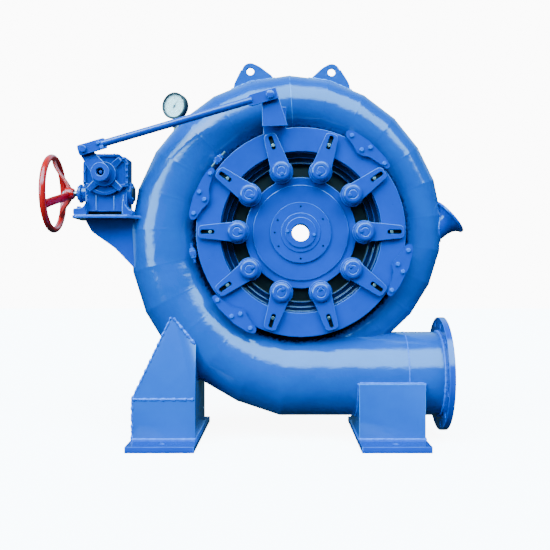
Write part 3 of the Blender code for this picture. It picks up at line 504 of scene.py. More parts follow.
BLUE = gloss_enamel("blue_gloss_enamel", "#003A94", "#003080", "#1F6ED8", dents=0.08)
CASING_BLUE = gloss_enamel(
    "blue_enamel_on_rolled_plate", "#004692", "#003A82", "#46A0F4", dents=0.38
)
# Painted shade: a very dark blue for the head cover's narrow steps inside the ring.
SHADED_BLUE = gloss_enamel(
    "blue_enamel_under_dust_and_oil", "#00113E", "#000A28", "#2450A8", dents=0.08
)
PLATE_BLUE = gloss_enamel("blue_enamel_on_flat_plate", "#004C9C", "#004290", "#52A8F6", dents=0.10)
RED = gloss_enamel("red_gloss_enamel", "#EC0408", "#CC0306", "#F45040", peel=0.12)
BLACK = gloss_enamel("black_satin_enamel", "#0C0D10", "#060608", "#26282C", rough=0.6)
enamels = (BLUE, CASING_BLUE, SHADED_BLUE, PLATE_BLUE, RED, BLACK)
print("enamels", [enamel.name for enamel in enamels])

# %% [markdown]
# Inside, the casing and the chamber carry dark primer, which is matt and a little rusty. The
# guide vanes are bare turned and ground steel: a metal whose fine marks break up its highlight.
# A near-black coat with lumps about 4 mm across and a soft shine is painted shade in grooves, holes,
# slots and gaps.

# %% Primer, steel and brass


def mottled(name, scale, detail, stops, roughness, bump, **noise):
    """A coat whose colour runs between two stops of noise, with the same noise as its relief."""
    material, tree, shader, place = new_finish(name)
    lumps = node(tree, "TexNoise", Vector=place, Scale=scale, Detail=detail, **noise)
    ramp = node(tree, "ValToRGB", Fac=lumps)
    for element, (position, colour) in zip(ramp.color_ramp.elements, stops):
        element.position, element.color = position, paint_card(colour)
    relief = node(tree, "Bump", Height=lumps, Strength=bump, Distance=0.001)
    plug(tree, shader, Base_Color=ramp, Roughness=roughness, Normal=relief)
    return material


def turned_metal(name, colour, dull):
    """Metal with fine marks about 1 mm across, duller where it is worn."""
    material, tree, shader, place = new_finish(name)
    marks = node(tree, "TexNoise", Vector=place, Scale=900.0, Detail=2.0)
    wear = node(tree, "TexNoise", Vector=place, Scale=40.0, Detail=5.0)
    tint = node(tree, "Mix", COLOURS, in0=wear, in6=colour, in7=dull)
    gloss = node(tree, "MapRange", Value=wear, in1=0.3, in2=0.7, in3=0.22, in4=0.42)
    relief = node(tree, "Bump", Height=marks, Strength=0.2, Distance=0.0002)
    plug(
        tree, shader, Base_Color=tint.outputs[2], Metallic=1.0, Roughness=gloss, Normal=relief
    )
    return material


PRIMER = mottled(
    "dark_primer", 14.0, 6.0, [(0.35, "#1A2440"), (0.72, "#3B3430")], 0.65, 0.3, Roughness=0.65
)
# Painted shade: this near-black coat darkens places where shade falls.
NEAR_BLACK_SHADE = mottled("old_black_grease", 260.0, 4.0, [(0, "#020203"), (1, "#0A0C10")], 0.3, 0.15)
STEEL = turned_metal("bare_turned_steel", "#C9CBCC", "#8C8F92")
BRASS = turned_metal("turned_brass", "#D9B25C", "#9C7A38")
print("bare finishes", PRIMER.name, NEAR_BLACK_SHADE.name, STEEL.name, BRASS.name)

# %% [markdown]
# The spiral is the heart of the casing. Its tube is widest where the pipe joins it and narrows on
# the way round, while its inner side stays on one circle, where it is welded to the drum. Real
# ones are made of short cones cut at a slant and welded, so the outline is a row of straight
# lengths with faint corners, ground smooth and filled. Here each length is a blend of the two
# mitre sections beside it, and a seam lifts by half a millimetre where the weld was ground.

# %% The spiral's tube
SPIRAL_WRAP = (0, 185, 230, 350)
SPIRAL_REACH = (708.5, 617, 574, 512)
ROOT_RADIUS = 383.5
WALL, SEAM = 8, 0.5
TUBE_SIDES = 96
PIPE_START, PIPE_RADIUS, PIPE_DROP = 405, 162.5, 546
LEAN = np.linspace(0, math.tau, TUBE_SIDES, endpoint=False)
MITRES_UP, MITRES_DOWN = np.linspace(6.5, 176, 13), np.linspace(176, 349, 13)
MITRES = np.concatenate([MITRES_UP, MITRES_DOWN[1:]])
FINE = np.array([0, 0.02, 0.05, 0.1, 0.3, 0.5, 0.7, 0.9, 0.95, 0.98])
COARSE = np.array([0, 0.05, 0.95])


def spiral_section(wrap):
    """Centre radius and tube radius at degrees of wrap from the lowest point."""
    reach = np.interp(wrap, SPIRAL_WRAP, SPIRAL_REACH)
    radius = (reach - ROOT_RADIUS) / 2
    return reach - radius, radius


def tube_rings(wraps, grow=0.0):
    """Round sections across the tube: out = centre + r cos lean, near = r sin lean."""
    wraps = np.asarray(wraps, float)[:, None]
    centre, radius = spiral_section(wraps)
    out = centre + (radius + grow) * np.cos(LEAN)
    near = (radius + grow) * np.sin(LEAN)
    turn = np.radians(270 - wraps)
    return np.stack([out * np.cos(turn), out * np.sin(turn), near + 0 * turn], axis=-1)


def mitred(rings, steps, seam):
    """Straight lengths between sections.

    A row at a mitre takes the mean of its neighbours, which softens the corner, and rows near it
    move outwards by seam * exp(-(distance / 0.03)^2).
    """
    last = len(rings) - 1
    position = np.concatenate([np.add.outer(np.arange(last), steps).ravel(), [last]])
    low = np.minimum(position.astype(int), last - 1)
    share = (position - low)[:, None, None]
    rows = rings[low] * (1 - share) + rings[low + 1] * share
    corners = np.flatnonzero(position[1:-1] == np.round(position[1:-1])) + 1
    rows[corners] = (rows[corners - 1] + rows[corners + 1]) / 2
    away = rows - rows.mean(1, keepdims=True)
    away /= np.linalg.norm(away, axis=-1, keepdims=True)
    near_seam = np.exp(-(((position - np.round(position)) / 0.03) ** 2))
    near_seam[(position < 0.5) | (position > last - 0.5)] = 0
    return rows + away * seam * near_seam[:, None, None]


def first_half(grow, end_x, steps, seam=0.0):
    """The straight inlet and the tube up to its top."""
    level = tube_rings([0], grow)[0]
    inlet, first_mitre = level.copy(), level.copy()
    inlet[:, 0] = end_x
    slant = math.radians(270 - MITRES[0])
    first_mitre[:, 0] = level[:, 1] * math.cos(slant) / math.sin(slant)
    rings = np.concatenate([[inlet, first_mitre], tube_rings(MITRES_UP[1:], grow)])
    return skin(mitred(rings, steps, seam))


def second_half(grow, steps, seam=0.0):
    """The tube from its top to its small end, which disappears in the inlet."""
    rings = np.concatenate([tube_rings([174], grow - 2), tube_rings(MITRES_DOWN, grow)])
    return skin(mitred(rings, steps, seam))


def tube_depth(points):
    """How far points are outside the tube, in millimetres; negative inside it.

    Between two mitres the tube is straight, so a circle's radius shrinks there by
    cos(half) / cos(angle from the middle). The point is scaled back by as much, and then
    depth = distance to the section's centre - section's radius. The straight inlet counts too.
    """
    x, y, z = np.moveaxis(np.asarray(points, float), -1, 0)
    wrap = (270 - np.degrees(np.arctan2(y, x))) % 360
    k = np.clip(np.searchsorted(MITRES, wrap) - 1, 0, len(MITRES) - 2)
    half, middle = (MITRES[k + 1] - MITRES[k]) / 2, (MITRES[k + 1] + MITRES[k]) / 2
    sag = np.cos(np.radians(half)) / np.cos(np.radians(np.clip(wrap - middle, -half, half)))
    centre, radius = spiral_section(np.minimum(wrap, 350))
    round_part = np.hypot(np.hypot(x, y) / sag - centre, z) - radius
    centre, radius = spiral_section(0)
    straight = np.where(x > -70, np.hypot(y + centre, z) - radius, 1000.0)
    return np.minimum(round_part, straight)


end_radii = [float(spiral_section(wrap)[1]) for wrap in (0, 350)]
print("tube radius at the inlet and at its small end", end_radii)

# %% [markdown]
# The casing is then cut as a solid: both halves of the tube and the drum are joined, and the
# water's way is taken out of them, which leaves an 8 mm wall. Exact Booleans are used because
# the small end of the spiral runs into the inlet at a slant, and no grid follows that line.

# %% The casing
BRANCH_FACE = (588, 71, 0)
BRANCH_WAY = (*polar(41.5, 1.0), 0.0)
drum = turned([(300, 62), (400, 62), (400, -62), (300, -62)], 2, 144)
chamber = turned([(0, 37), (399, 37), (399, -37), (0, -37)], None, 144)
branch_hole = turned([(0, 20), (40, 20), (40, -140), (0, -140)], None, 48)
steel = united(first_half(0, PIPE_START, FINE, SEAM), second_half(0, FINE, SEAM), drum)
water = united(
    first_half(-WALL, PIPE_START + 10, COARSE), second_half(-WALL, COARSE), chamber,
    moved(branch_hole, BRANCH_FACE, BRANCH_WAY),
)
casing_nodes = [
    name for name in frame["nodes"] if name.startswith("spiral_") or name.endswith("_stay_ring")
]
casing = piece("spiral_casing_skin", carved(steel, water), casing_nodes, CASING_BLUE, crease=30)


def coated(thing, coat, picks):
    """Another coat on the faces that picks(radius, near, points) chooses by their centres."""
    mesh = thing.data
    mesh.materials.append(coat)
    points = to_front(values_of(mesh.polygons, "center", np.float32, 3))
    index = values_of(mesh.polygons, "material_index", np.int32)
    radius = np.hypot(points[:, 0], points[:, 1])
    index[picks(radius, points[:, 2], points)] = len(mesh.materials) - 1
    mesh.polygons.foreach_set("material_index", index)


def shaded_under_ring(thing):
    """Painted shade in the corner under the ring: shade = (430 - r) / 30 mm, least at the top."""
    right, up, near = to_front(values_of(thing.data.vertices, "co", np.float32, 3)).T
    radius = np.hypot(right, up)
    soil = np.clip((430 - radius) / 30, 0, 1) * (0.78 - 0.22 * up / radius)
    store(thing.data, "soil", soil * (radius > 375) * (near > 30))


def in_water(radius, near, points):
    """Picks the faces that the water touches, in the tube and in the chamber."""
    in_chamber = (radius > 290) & (radius < 399.5) & (np.abs(near) < 37.5)
    return (tube_depth(points) < -4.5) | in_chamber


coated(casing, PRIMER, in_water)
# Painted shade on the casing in the corner between the ring and the tube.
shaded_under_ring(casing)

# %% [markdown]
# The inlet goes on as a plain length of pipe to its flange. The flange is a turned ring, drilled
# with twelve holes that have a small chamfer.

# %% Inlet pipe and flange
FLANGE_FACE, FLANGE_THICK, RIGHT = 565, 23.7, (1, 0, 0)
PIPE_BORE, PIPE_LONG = 154.5, 135.7
pipe_profile = [(PIPE_RADIUS, 0), (PIPE_RADIUS, PIPE_LONG), (PIPE_BORE, PIPE_LONG), (PIPE_BORE, 0)]
pipe = turned(pipe_profile, 0.8, TUBE_SIDES)
pipe = moved(pipe, (PIPE_START + 0.3, -PIPE_DROP, 0), RIGHT)
inlet_pipe = piece("inlet_pipe_skin", pipe, ["inlet_pipe"], CASING_BLUE)
coated(inlet_pipe, PRIMER, lambda radius, near, p: np.hypot(p[:, 1] + PIPE_DROP, p[:, 2]) < 156)

flange = turned([(220, 0), (220, FLANGE_THICK), (PIPE_BORE, FLANGE_THICK), (PIPE_BORE, 0)], 2, 144)
hole_profile = [(0, -2), (14.5, -2), (11.5, 1.2), (11.5, 22.5), (14.5, 25.7), (0, 25.7)]
flange_hole = turned(hole_profile, None, 20)
flange_holes = scattered(flange_hole, polar(15 + 30 * np.arange(12), 197.5), step=0)
flange, flange_holes = [
    moved(part, (FLANGE_FACE - FLANGE_THICK, -PIPE_DROP, 0), RIGHT)
    for part in (flange, flange_holes)
]
piece("inlet_flange_turned", carved(flange, flange_holes), ["inlet_flange"])

# %% [markdown]
# A weld shows as a bead: a low round ridge along a joint, with the fine ripples that the pool
# leaves as it moves on. It is a circle carried along the joint's line, whose radius swells and
# shrinks every 4 to 13 mm. Paint has filled it, so the ripples are soft.

# %% Weld beads


def evenly(path, spacing):
    """A path with points at even spacing, by its length so far."""
    path = np.asarray(path, float)
    run = np.concatenate([[0], np.cumsum(np.linalg.norm(np.diff(path, axis=0), axis=1))])
    at = np.linspace(0, run[-1], max(3, int(run[-1] / spacing)))
    return np.stack([np.interp(at, run, path[:, k]) for k in range(3)], axis=1), at


def bead(path, radius=4.0, ripple=4.5, sway=0.15):
    """A rippled weld: section radius = r (1 + 0.12 sin(2 pi s / ripple) + slow sway), ends closed."""
    points, at = evenly(path, ripple / 3.2)
    tangent = np.gradient(points, axis=0)
    tangent /= np.linalg.norm(tangent, axis=1)[:, None]
    side = np.cross(tangent, (0.31, 0.17, 0.93))
    side /= np.linalg.norm(side, axis=1)[:, None]
    top = np.cross(side, tangent)
    drift = np.sin(at * 0.061 + 1.3) * np.sin(at * 0.233)
    swell = 1 + 0.12 * np.sin(math.tau * at / ripple) + sway * drift
    ends = np.minimum(1, np.minimum(at + 0.4, at[-1] - at + 0.4) / radius)
    size = radius * swell * np.sqrt(1 - (1 - ends) ** 2)
    angle = np.linspace(0, math.tau, 8, endpoint=False)
    ring = side[:, None] * np.cos(angle)[:, None] + top[:, None] * np.sin(angle)[:, None]
    return skin(points[:, None] + size[:, None, None] * ring)


def hoop(radius, right, count=241, low=0, high=360):
    """A circle round the inlet's axis: (right, r cos a - drop, r sin a)."""
    a = np.radians(np.linspace(low, high, count))
    return np.stack([right + 0 * a, radius * np.cos(a) - PIPE_DROP, radius * np.sin(a)], axis=1)


drum_wraps = np.linspace(14, 346, 300)
drum_centre, drum_tube = spiral_section(drum_wraps)
drum_out = np.minimum(400, drum_centre - np.sqrt(drum_tube**2 - 50**2))
drum_near = np.minimum(62, np.sqrt(drum_tube**2 - (drum_centre - 400) ** 2))
casing_welds = joined(
    bead(hoop(163.5, FLANGE_FACE - 25.5), 5.5),
    bead(hoop(160.8, PIPE_START), 3.0),
    bead(at_height(polar(270 - drum_wraps, drum_out), drum_near), 4.5, 9.0),
)
# The welds by the drum take the same painted shade.
shaded_under_ring(piece("casing_welds", casing_welds, crease=60))

# %% [markdown]
# The side branch is a short neck that flares like a trumpet to a thin lip, probably spun over a
# former. Its profile is turned round its own axis, and its end hides inside the tube's wall. Its
# weld follows the line where the neck meets the tube, which repeated halving finds.

# %% Side branch


def onto_tube(outside, inside, steps=40):
    """Where lines from outside points to inside points meet the tube, by repeated halving."""
    low, high = np.zeros(len(outside)), np.ones(len(outside))
    for _ in range(steps):
        middle = (low + high) / 2
        within = tube_depth(outside + (inside - outside) * middle[:, None]) < 0
        high, low = np.where(within, middle, high), np.where(within, low, middle)
    return outside + (inside - outside) * high[:, None]


branch_profile = [
    (79, 0), (79, -9), (68, -13), (56, -28), (48, -52), (46, -80), (46, -125), (40, -125), (40, -20),
    (40.5, 0),
]
branch = turned(branch_profile, np.array([2, 4, 4, 10, 12, 12, 1, 1, 4, 2]), 72, 4)
branch_ring = at_height(polar(np.linspace(0, 360, 121), 47.5), -20)
branch_top = stand(branch_ring, BRANCH_FACE, BRANCH_WAY)
branch_weld = onto_tube(branch_top, branch_top - 160 * np.array(BRANCH_WAY))
piece("side_branch_neck", moved(branch, BRANCH_FACE, BRANCH_WAY), ["side_branch"])
piece("side_branch_weld", bead(branch_weld, 4.5), crease=60)

# %% [markdown]
# Bolts give the machine its scale. One function makes a hexagon head on its washer, as a grid of
# twelve columns whose radius alternates between the hexagon's corners and the middles of its
# sides. The points of one head are then placed again and again.

# %% Bolts


def bolt_head(across=19.0, height=7.5, washer=1.6):
    """A hexagon head with a chamfered top, on a round washer, standing on z = 0."""
    corner = across / math.sqrt(3)
    six = np.where(np.arange(12) % 2 == 0, corner, across / 2)
    disc, flat = np.full(12, corner * 1.12), np.full(12, across / 2 * 0.9)
    radii = np.stack([disc, disc, six, six, flat])
    levels = np.array([0, washer, washer, washer + height * 0.86, washer + height])[:, None]
    angle = np.radians(30 * np.arange(12))
    grid = np.stack([radii * np.cos(angle), radii * np.sin(angle), levels + 0 * radii], axis=-1)
    return skin(grid)


print("a bolt head has", len(bolt_head()[1]), "faces")

# %% [markdown]
# The head cover closes the drum at the front. It is turned from one casting: a flange, a narrow
# step that centres the ring, and a deep groove with the ten bushes of the vane stems. The groove
# is painted near-black between the levers, and the steps a very dark blue, as painted shade. The
# raised hub in the middle is a piece of its own.

# %% Head cover
GATE_ANGLES = 36.0 * np.arange(10)
STEM_CIRCLE = 237
cover_profile = [
    (181.3, 102), (211, 102), (211, 74), (262, 74), (262, 100), (265.5, 100), (265.5, 96),
    (282, 96), (282, 116), (297.5, 116), (297.5, 138), (301.5, 138), (301.5, 130.7),
    (326, 130.7), (326, 95), (384, 95), (384, 62.3), (299, 62.3), (299, 38), (181.3, 38),
]
bush = turned([(18.3, 150), (34, 150), (34, 146), (44, 146), (44, 60), (18.3, 60)], 1.5, 48)
bushes = scattered(bush, polar(GATE_ANGLES, STEM_CIRCLE), step=0)
cover = joined(turned(cover_profile, 2.2, 160), bushes)
head_cover = piece("head_cover_turned", cover, ["head_cover"])
# Painted shade: the groove between the levers takes the near-black coat.
coated(head_cover, NEAR_BLACK_SHADE, lambda r, near, p: (r > 210.8) & (r < 262.2) & (near < 98.5))
# Painted shade: the narrow steps inside the ring take the very dark blue.
coated(head_cover, SHADED_BLUE, lambda r, near, p: (r > 262.2) & (r < 301.5) & (near > 90))
hub = turned([(33, 110), (181.6, 110), (181.6, 38), (33, 38)], 3, 160)
piece("seal_housing_turned", hub, ["seal_housing"])
cover_bolts = scattered(bolt_head(16, 6.5), at_height(polar(18 + GATE_ANGLES, 372), 95))
piece("head_cover_bolts", cover_bolts)

# %% [markdown]
# The seal cover is a thin disc on the hub with seven small countersunk holes. Its gland is held
# by two small studs. The runner's shaft isn't fitted, so the bore is open right through.

# %% Seal cover
seal_profile = [
    (33, 128), (57, 128), (57, 122.5), (74, 122.5), (74, 118.3), (115, 118.3), (115, 110.3),
    (33, 110.3),
]
counterbore = turned([(0, 120.5), (4.4, 120.5), (3.6, 117.5), (3.6, 112), (0, 112)], None, 16)
screw_places = polar(np.array([90, 31, -31, -90, 212, 180, 152]), 98.5)
seal = carved(turned(seal_profile, 1.2, 128), scattered(counterbore, screw_places, step=0))
seal_cover = piece("seal_cover_turned", seal, ["seal_cover"])
# Painted shade: the side of the disc's rim and the counterbores take the near-black coat.
coated(seal_cover, NEAR_BLACK_SHADE, lambda r, near, p: (r > 90) & (near < 117.2) & (near > 111))
stud_places = at_height(polar(np.array([174.0, -10.0]), 50.5), 127.5)
piece("gland_studs", scattered(bolt_head(10, 6, 1), stud_places))

# %% [markdown]
# The back cover carries the outlet's neck and flange, where a draft tube is bolted on. It hangs
# on the drum by a circle of bolts. Its flange is left plain, because its holes aren't known. Its
# inside is primer, as it stands in the water.

# %% Back cover
back_profile = [
    (185, -38), (299, -38), (299, -62.3), (384, -62.3), (384, -92), (195, -92), (195, -142),
    (245, -142), (245, -160), (185, -160),
]
back_cover = piece("back_cover_turned", turned(back_profile, 2, 144), ["back_cover"])
coated(back_cover, PRIMER, lambda r, near, p: (r < 187) | (near > -61) & (r < 298.5))
back_places = at_height(polar(22.5 * np.arange(16), 345), -92)
neck_weld = bead(at_height(polar(np.linspace(0, 360, 181), 196.5), -92.5), 4.5, 8.0)
back_bolts = joined(scattered(bolt_head(), back_places, (0, 0, -1)), neck_weld)
piece("back_cover_bolts", back_bolts, crease=40)

# %% [markdown]
# The regulating ring is a flat plate cut from sheet and turned on its rims. It slides on the
# cover's step. Ten pins stand on it, one in each lever's slot, and small centre marks from the
# drill are still to be seen beside them. A tab at the top carries the arm.

# %% Regulating ring
RING_BACK, RING_FRONT = 131, 149
rim_profile = [(392, RING_FRONT), (392, RING_BACK), (302.5, RING_BACK), (302.5, RING_FRONT)]
drill_mark = turned([(0, 152), (4.5, 152), (0, 146.5)], None, 12)
marks = scattered(drill_mark, polar(GATE_ANGLES + 16.5, 357), step=0)
tab_outline = softened([(-55, 365), (-55, 468), (-139, 468), (-142, 345)], 4)
tab = plate(tab_outline, RING_BACK + 0.2, RING_FRONT - 0.2)
ring = united(carved(turned(rim_profile, 1.8, 180), marks), tab)
piece("regulating_ring_plate", ring, ["regulating_ring"], body="ring")
pin = turned([(0, 140), (6.5, 140), (6.5, 164), (0, 164)], 1.2, 24)
ring_pins = scattered(pin, polar(GATE_ANGLES, 338), step=0)
piece("ring_pins", ring_pins, finish=STEEL, body="ring")

# %% [markdown]
# The arm on the ring takes the rod's push. It is a thick block on the tab with a tapering front
# plate welded on, and a pin with a hexagon head goes through its round top.

# %% Ring arm
ARM_PIN = (-113.5, 497.5)
arm_head = np.asarray(ARM_PIN) + polar(np.linspace(8, 172, 15), 27)
arm_corners = np.vstack([[(-143, 384), (-49, 388)], arm_head, [(-144, 466)]])
arm_side = softened([(-139, 398), (-55, 398), (-78, 470), (-139, 470)], 4)
arm = joined(
    plate(arm_side, RING_FRONT + 0.3, 191.5),
    plate(softened(arm_corners, 4, 2), 191, 203, 2),
    moved(turned([(0, 193), (8, 193), (8, 224.5), (0, 224.5)], 0.8, 32), ARM_PIN),
    moved(bolt_head(26, 6), (*ARM_PIN, 222.2), spin=12),
    bead([(-56.5, 400, 189.5), (-79.5, 468, 189.5), (-137, 471.5, 189.5)], 2.8),
    bead([(-139, 396.5, 150), (-55, 396.5, 150)], 3.0),
)
piece("ring_arm_built", arm, ["ring_arm"], body="ring")

# %% [markdown]
# Each guide vane turns with a lever clamped on its stem. The lever is a plate with a wide round
# eye, straight tapering sides and a slot near its tip, and a thick cap with a chamfered rim closes
# the stem. The slot is taken out with a cutter, because its outline has nothing to do with the
# plate's. One lever is made and turned to its ten places.

# %% Levers


def lever_outline(eye=38, half=25, length=146, corner=17):
    """A round eye about the stem, tangent sides, and a squared tip with rounded corners."""
    tangent = math.degrees(math.acos((eye - half) / (length - corner)))
    big = polar(np.linspace(tangent, 360 - tangent, 33), eye)
    lower = np.array([length - corner, -half + corner]) + polar(np.linspace(-88, 0, 9), corner)
    upper = np.array([length - corner, half - corner]) + polar(np.linspace(0, 88, 9), corner)
    return np.vstack([lower, upper, big])


def slot_outline(start, end, half):
    """A slot with round ends along x."""
    right = np.array([end - half, 0]) + polar(np.linspace(-90, 90, 13), half)
    left = np.array([start + half, 0]) + polar(np.linspace(90, 270, 13), half)
    return np.vstack([right, left])


flare = [(-1.4, 150), (-1.4, 154.3), (0, 155.7), (0, 167.3), (-1.4, 168.7), (-1.4, 174)]
slot_cutter = carried(slot_outline(85, 136, 8), flare)
slotted = carved(plate(lever_outline(), 154.5, 168.5, 1.8), slot_cutter)
cap_profile = [
    (0, 166), (36, 166), (36, 179), (33.5, 183), (28.5, 186), (19.5, 187), (18, 185.2),
    (15, 185.2), (13.5, 186.8), (0, 186.8),
]
nipple = turned([(0, 184), (7.2, 184), (7.2, 189.5), (5.8, 191.2), (0, 191.2)], 0.8, 20)
lever_mesh = united(slotted, turned(cap_profile, 1.2, 56), moved(nipple, (-13.5, 2)))
lever_points = to_front(values_of(lever_mesh.vertices, "co", np.float32, 3))
lever = (lever_points, [list(face.vertices) for face in lever_mesh.polygons])
SLOT_MIDDLE = STEM_CIRCLE + 110.5


def in_slot(angle):
    """Picks the walls of the slot of the lever at an angle, by their distance from its middle."""

    def picks(radius, near, points):
        along = np.abs(points[:, :2] @ polar(angle, 1.0) - SLOT_MIDDLE)
        across = np.abs(points[:, :2] @ polar(angle + 90, 1.0))
        return (along < 26.2) & (across < 8.4) & (near > 154.9) & (near < 168.0)

    return picks


for gate, angle in enumerate(GATE_ANGLES, 1):
    shape = moved(lever, polar(angle, STEM_CIRCLE), spin=angle)
    made = piece(f"lever_{gate}", shape, [f"guide_lever_{gate}"], body=f"gate_{gate}")
    # Painted shade: the slot's walls take the near-black coat.
    coated(made, NEAR_BLACK_SHADE, in_slot(angle))
# Painted shade: a thin near-black sheet on the ring under each slot.
smear = plate(slot_outline(79, 142, 11.5), 149.1, 149.9, 0.3)
shade_sheets = scattered(smear, polar(GATE_ANGLES, STEM_CIRCLE), step=36.0)
piece("slot_grease", shade_sheets, finish=NEAR_BLACK_SHADE, body="ring")

# %% [markdown]
# Most of the guide vanes are out of sight inside the casing. Their section is a symmetric foil:
# half thickness = t/2 sqrt(1 - c^2) (1 - 0.3 c), where c runs from -1 at the thick nose, which
# points outwards, to 1 at the tail. Each blade sits on a turned stem.

# %% Guide vanes
chord = np.cos(np.linspace(0, math.tau, 48, endpoint=False))
side_sign = np.where(np.arange(48) <= 24, 1.0, -1.0)
half_thick = 13 * np.sqrt(np.maximum(0, 1 - chord**2)) * (1 - 0.3 * chord)
blade = plate(np.stack([chord * 71, side_sign * half_thick], axis=1), -36.7, 36.7, 0.8)
vane = joined(blade, turned([(0, 20), (17.5, 20), (17.5, 175.7), (0, 175.7)], 1, 40))
VANE_OPENING = 12.0
for gate, angle in enumerate(GATE_ANGLES, 1):
    shape = moved(vane, polar(angle, STEM_CIRCLE), spin=angle - 90 - VANE_OPENING)
    piece(f"vane_{gate}", shape, [f"guide_vane_{gate}"], STEEL, f"gate_{gate}")

# %% [markdown]
# Four keepers hold the ring on its seat. Each is a plate cut from sheet, with one wide end and a
# belly that reaches in over the ring, on two posts, with four bolts.

# %% Keepers
keeper_degrees, keeper_radii = np.array([
    (-15.2, 396), (-15.2, 411), (-12.5, 414.5), (-8.2, 417), (2.1, 421.5), (10.4, 421.5), (13.2, 417),
    (14.1, 409), (13.6, 397), (7.6, 378.5), (3.4, 362.5), (0.1, 363.5), (-4.0, 379), (-11.0, 389),
]).T
keeper_cuts = np.array([5, 5, 3, 3, 3, 4, 4, 4, 5, 5, 5, 5, 6, 4])
keeper_outline = softened(polar(keeper_degrees, keeper_radii), keeper_cuts)[::-1]
post = turned([(0, 58), (9.5, 58), (9.5, 158), (0, 158)], 1, 28)
keeper_places = polar(np.array([-12.2, 10.7, -0.9, 2.0]), np.array([401, 405, 406, 379]))
keeper = joined(
    plate(keeper_outline, 154.5, 164.5),
    scattered(post, polar(np.array([-12.5, 11.5]), 407), step=0),
    scattered(bolt_head(14, 6.5, 1.2), at_height(keeper_places, 164.5)),
)
for number, angle in enumerate((51.5, 159.5, 231.5, 339.5), 1):
    piece(f"keeper_{number}", moved(keeper, spin=angle), [f"ring_keeper_{number}"])

# %% [markdown]
# Two stop screws stand beside the ring's rim, each a threaded rod through a lug with a nut on
# either side. The thread is drawn as rings 1.75 mm apart, which is its real pitch. The upper one
# is bare, and the left one was painted over.

# %% Stop screws
PITCH, STOP_OUT, STOP_NEAR = 1.75, 412, 141
thread_at = np.linspace(-38, 38, 175)
thread_radius = 5.6 + 0.5 * np.cos(math.tau * thread_at / PITCH)
thread_profile = np.vstack([[(0, -38)], np.stack([thread_radius, thread_at], axis=1), [(0, 38)]])
thread = moved(turned(thread_profile, None, 20), (STOP_OUT, 0, STOP_NEAR), (0, 1, 0))
nut = bolt_head(19, 9, 1.2)
lug_outline = softened([(-11, -9), (11, -9), (11, 9), (-11, 9)], 2)
lug = joined(
    moved(plate(lug_outline, 62, 152), (STOP_OUT, 0)),
    moved(nut, (STOP_OUT, 9, STOP_NEAR), (0, 1, 0)),
    moved(nut, (STOP_OUT, -9, STOP_NEAR), (0, -1, 0)),
)
for name, angle, finish, slot in (
    ("upper_stop_screw", 138.5, STEEL, "bare_steel"),
    ("left_stop_screw", 191.0, BLUE, "blue_enamel"),
):
    piece(name + "_lug", moved(lug, spin=angle), [name])
    piece(name + "_thread", moved(thread, spin=angle), finish=finish)

# %% [markdown]
# The feet are boxes of plate that are cut to the tube and welded. Their shapes come from the
# CAD model, since they follow the tube's surface. A copy of a CAD mesh is a heap of loose
# triangles: it is merged, its flat faces are dissolved, and a bevel then rounds its edges.

# %% Feet


def copied(node_name, bevel):
    """A merged copy of a CAD node's mesh, flat faces dissolved and edges rounded."""
    mesh = frame["nodes"][node_name].data.copy()
    bm = bmesh.new()
    bm.from_mesh(mesh)
    bmesh.ops.remove_doubles(bm, verts=bm.verts, dist=1e-5)
    bmesh.ops.dissolve_limit(bm, angle_limit=math.radians(1.5), verts=bm.verts, edges=bm.edges)
    bm.to_mesh(mesh)
    bm.free()
    thing = placed(node_name, mesh)
    rim = thing.modifiers.new("rim", "BEVEL")
    rim.width, rim.segments, rim.angle_limit = bevel, 2, math.radians(30)
    rim.harden_normals = True
    mesh.shade_smooth()
    return finished_mesh(thing)


for name in ("left_foot", "right_foot"):
    piece(name + "_box", copied(name, 0.003), [name], PLATE_BLUE)

# %% [markdown]
# Each foot stands on a base plate with a bolt hole before and behind it. The plates are cut with
# a torch, so their rims are a little round.

# %% Base plates
FLOOR, UP = -1000 * AXIS_Z, (0, 1, 0)


def lying(outline, low, high, edge):
    """A plate that lies flat, from an outline of (right, near) points and two heights."""
    return moved(plate(outline[:, ::-1][::-1], low, high, edge), direction=UP)


plate_hole = turned([(0, -5), (16, -5), (13, 1.3), (13, 21.5), (15.5, 28), (0, 28)], None, 28)
for name, left, right in (("left_base_plate", -630, -382), ("right_base_plate", 213, 464)):
    outline = softened([(left, -300), (right, -300), (right, 300), (left, 300)], 4)
    hole_places = [((left + right) / 2, FLOOR, near) for near in (-250, 250)]
    holes = scattered(plate_hole, hole_places, UP, step=0)
    piece(name + "_cut", carved(lying(outline, FLOOR, FLOOR + 23, 1.5), holes), [name])

# %% [markdown]
# The welds of the feet run where plates meet: along the base, up the corners and round the tube.

# %% Welds of the feet
FOOT_LOW, RIGHT_TOP, KNEE = FLOOR + 24.5, FLOOR + 228, FLOOR + 172


def base_line(left, right):
    """The closed line along a foot's base."""
    sides = [(left, 178.5), (right, 178.5), (right, -178.5), (left, -178.5), (left, 178.5)]
    return [(x, FOOT_LOW, near) for x, near in sides]


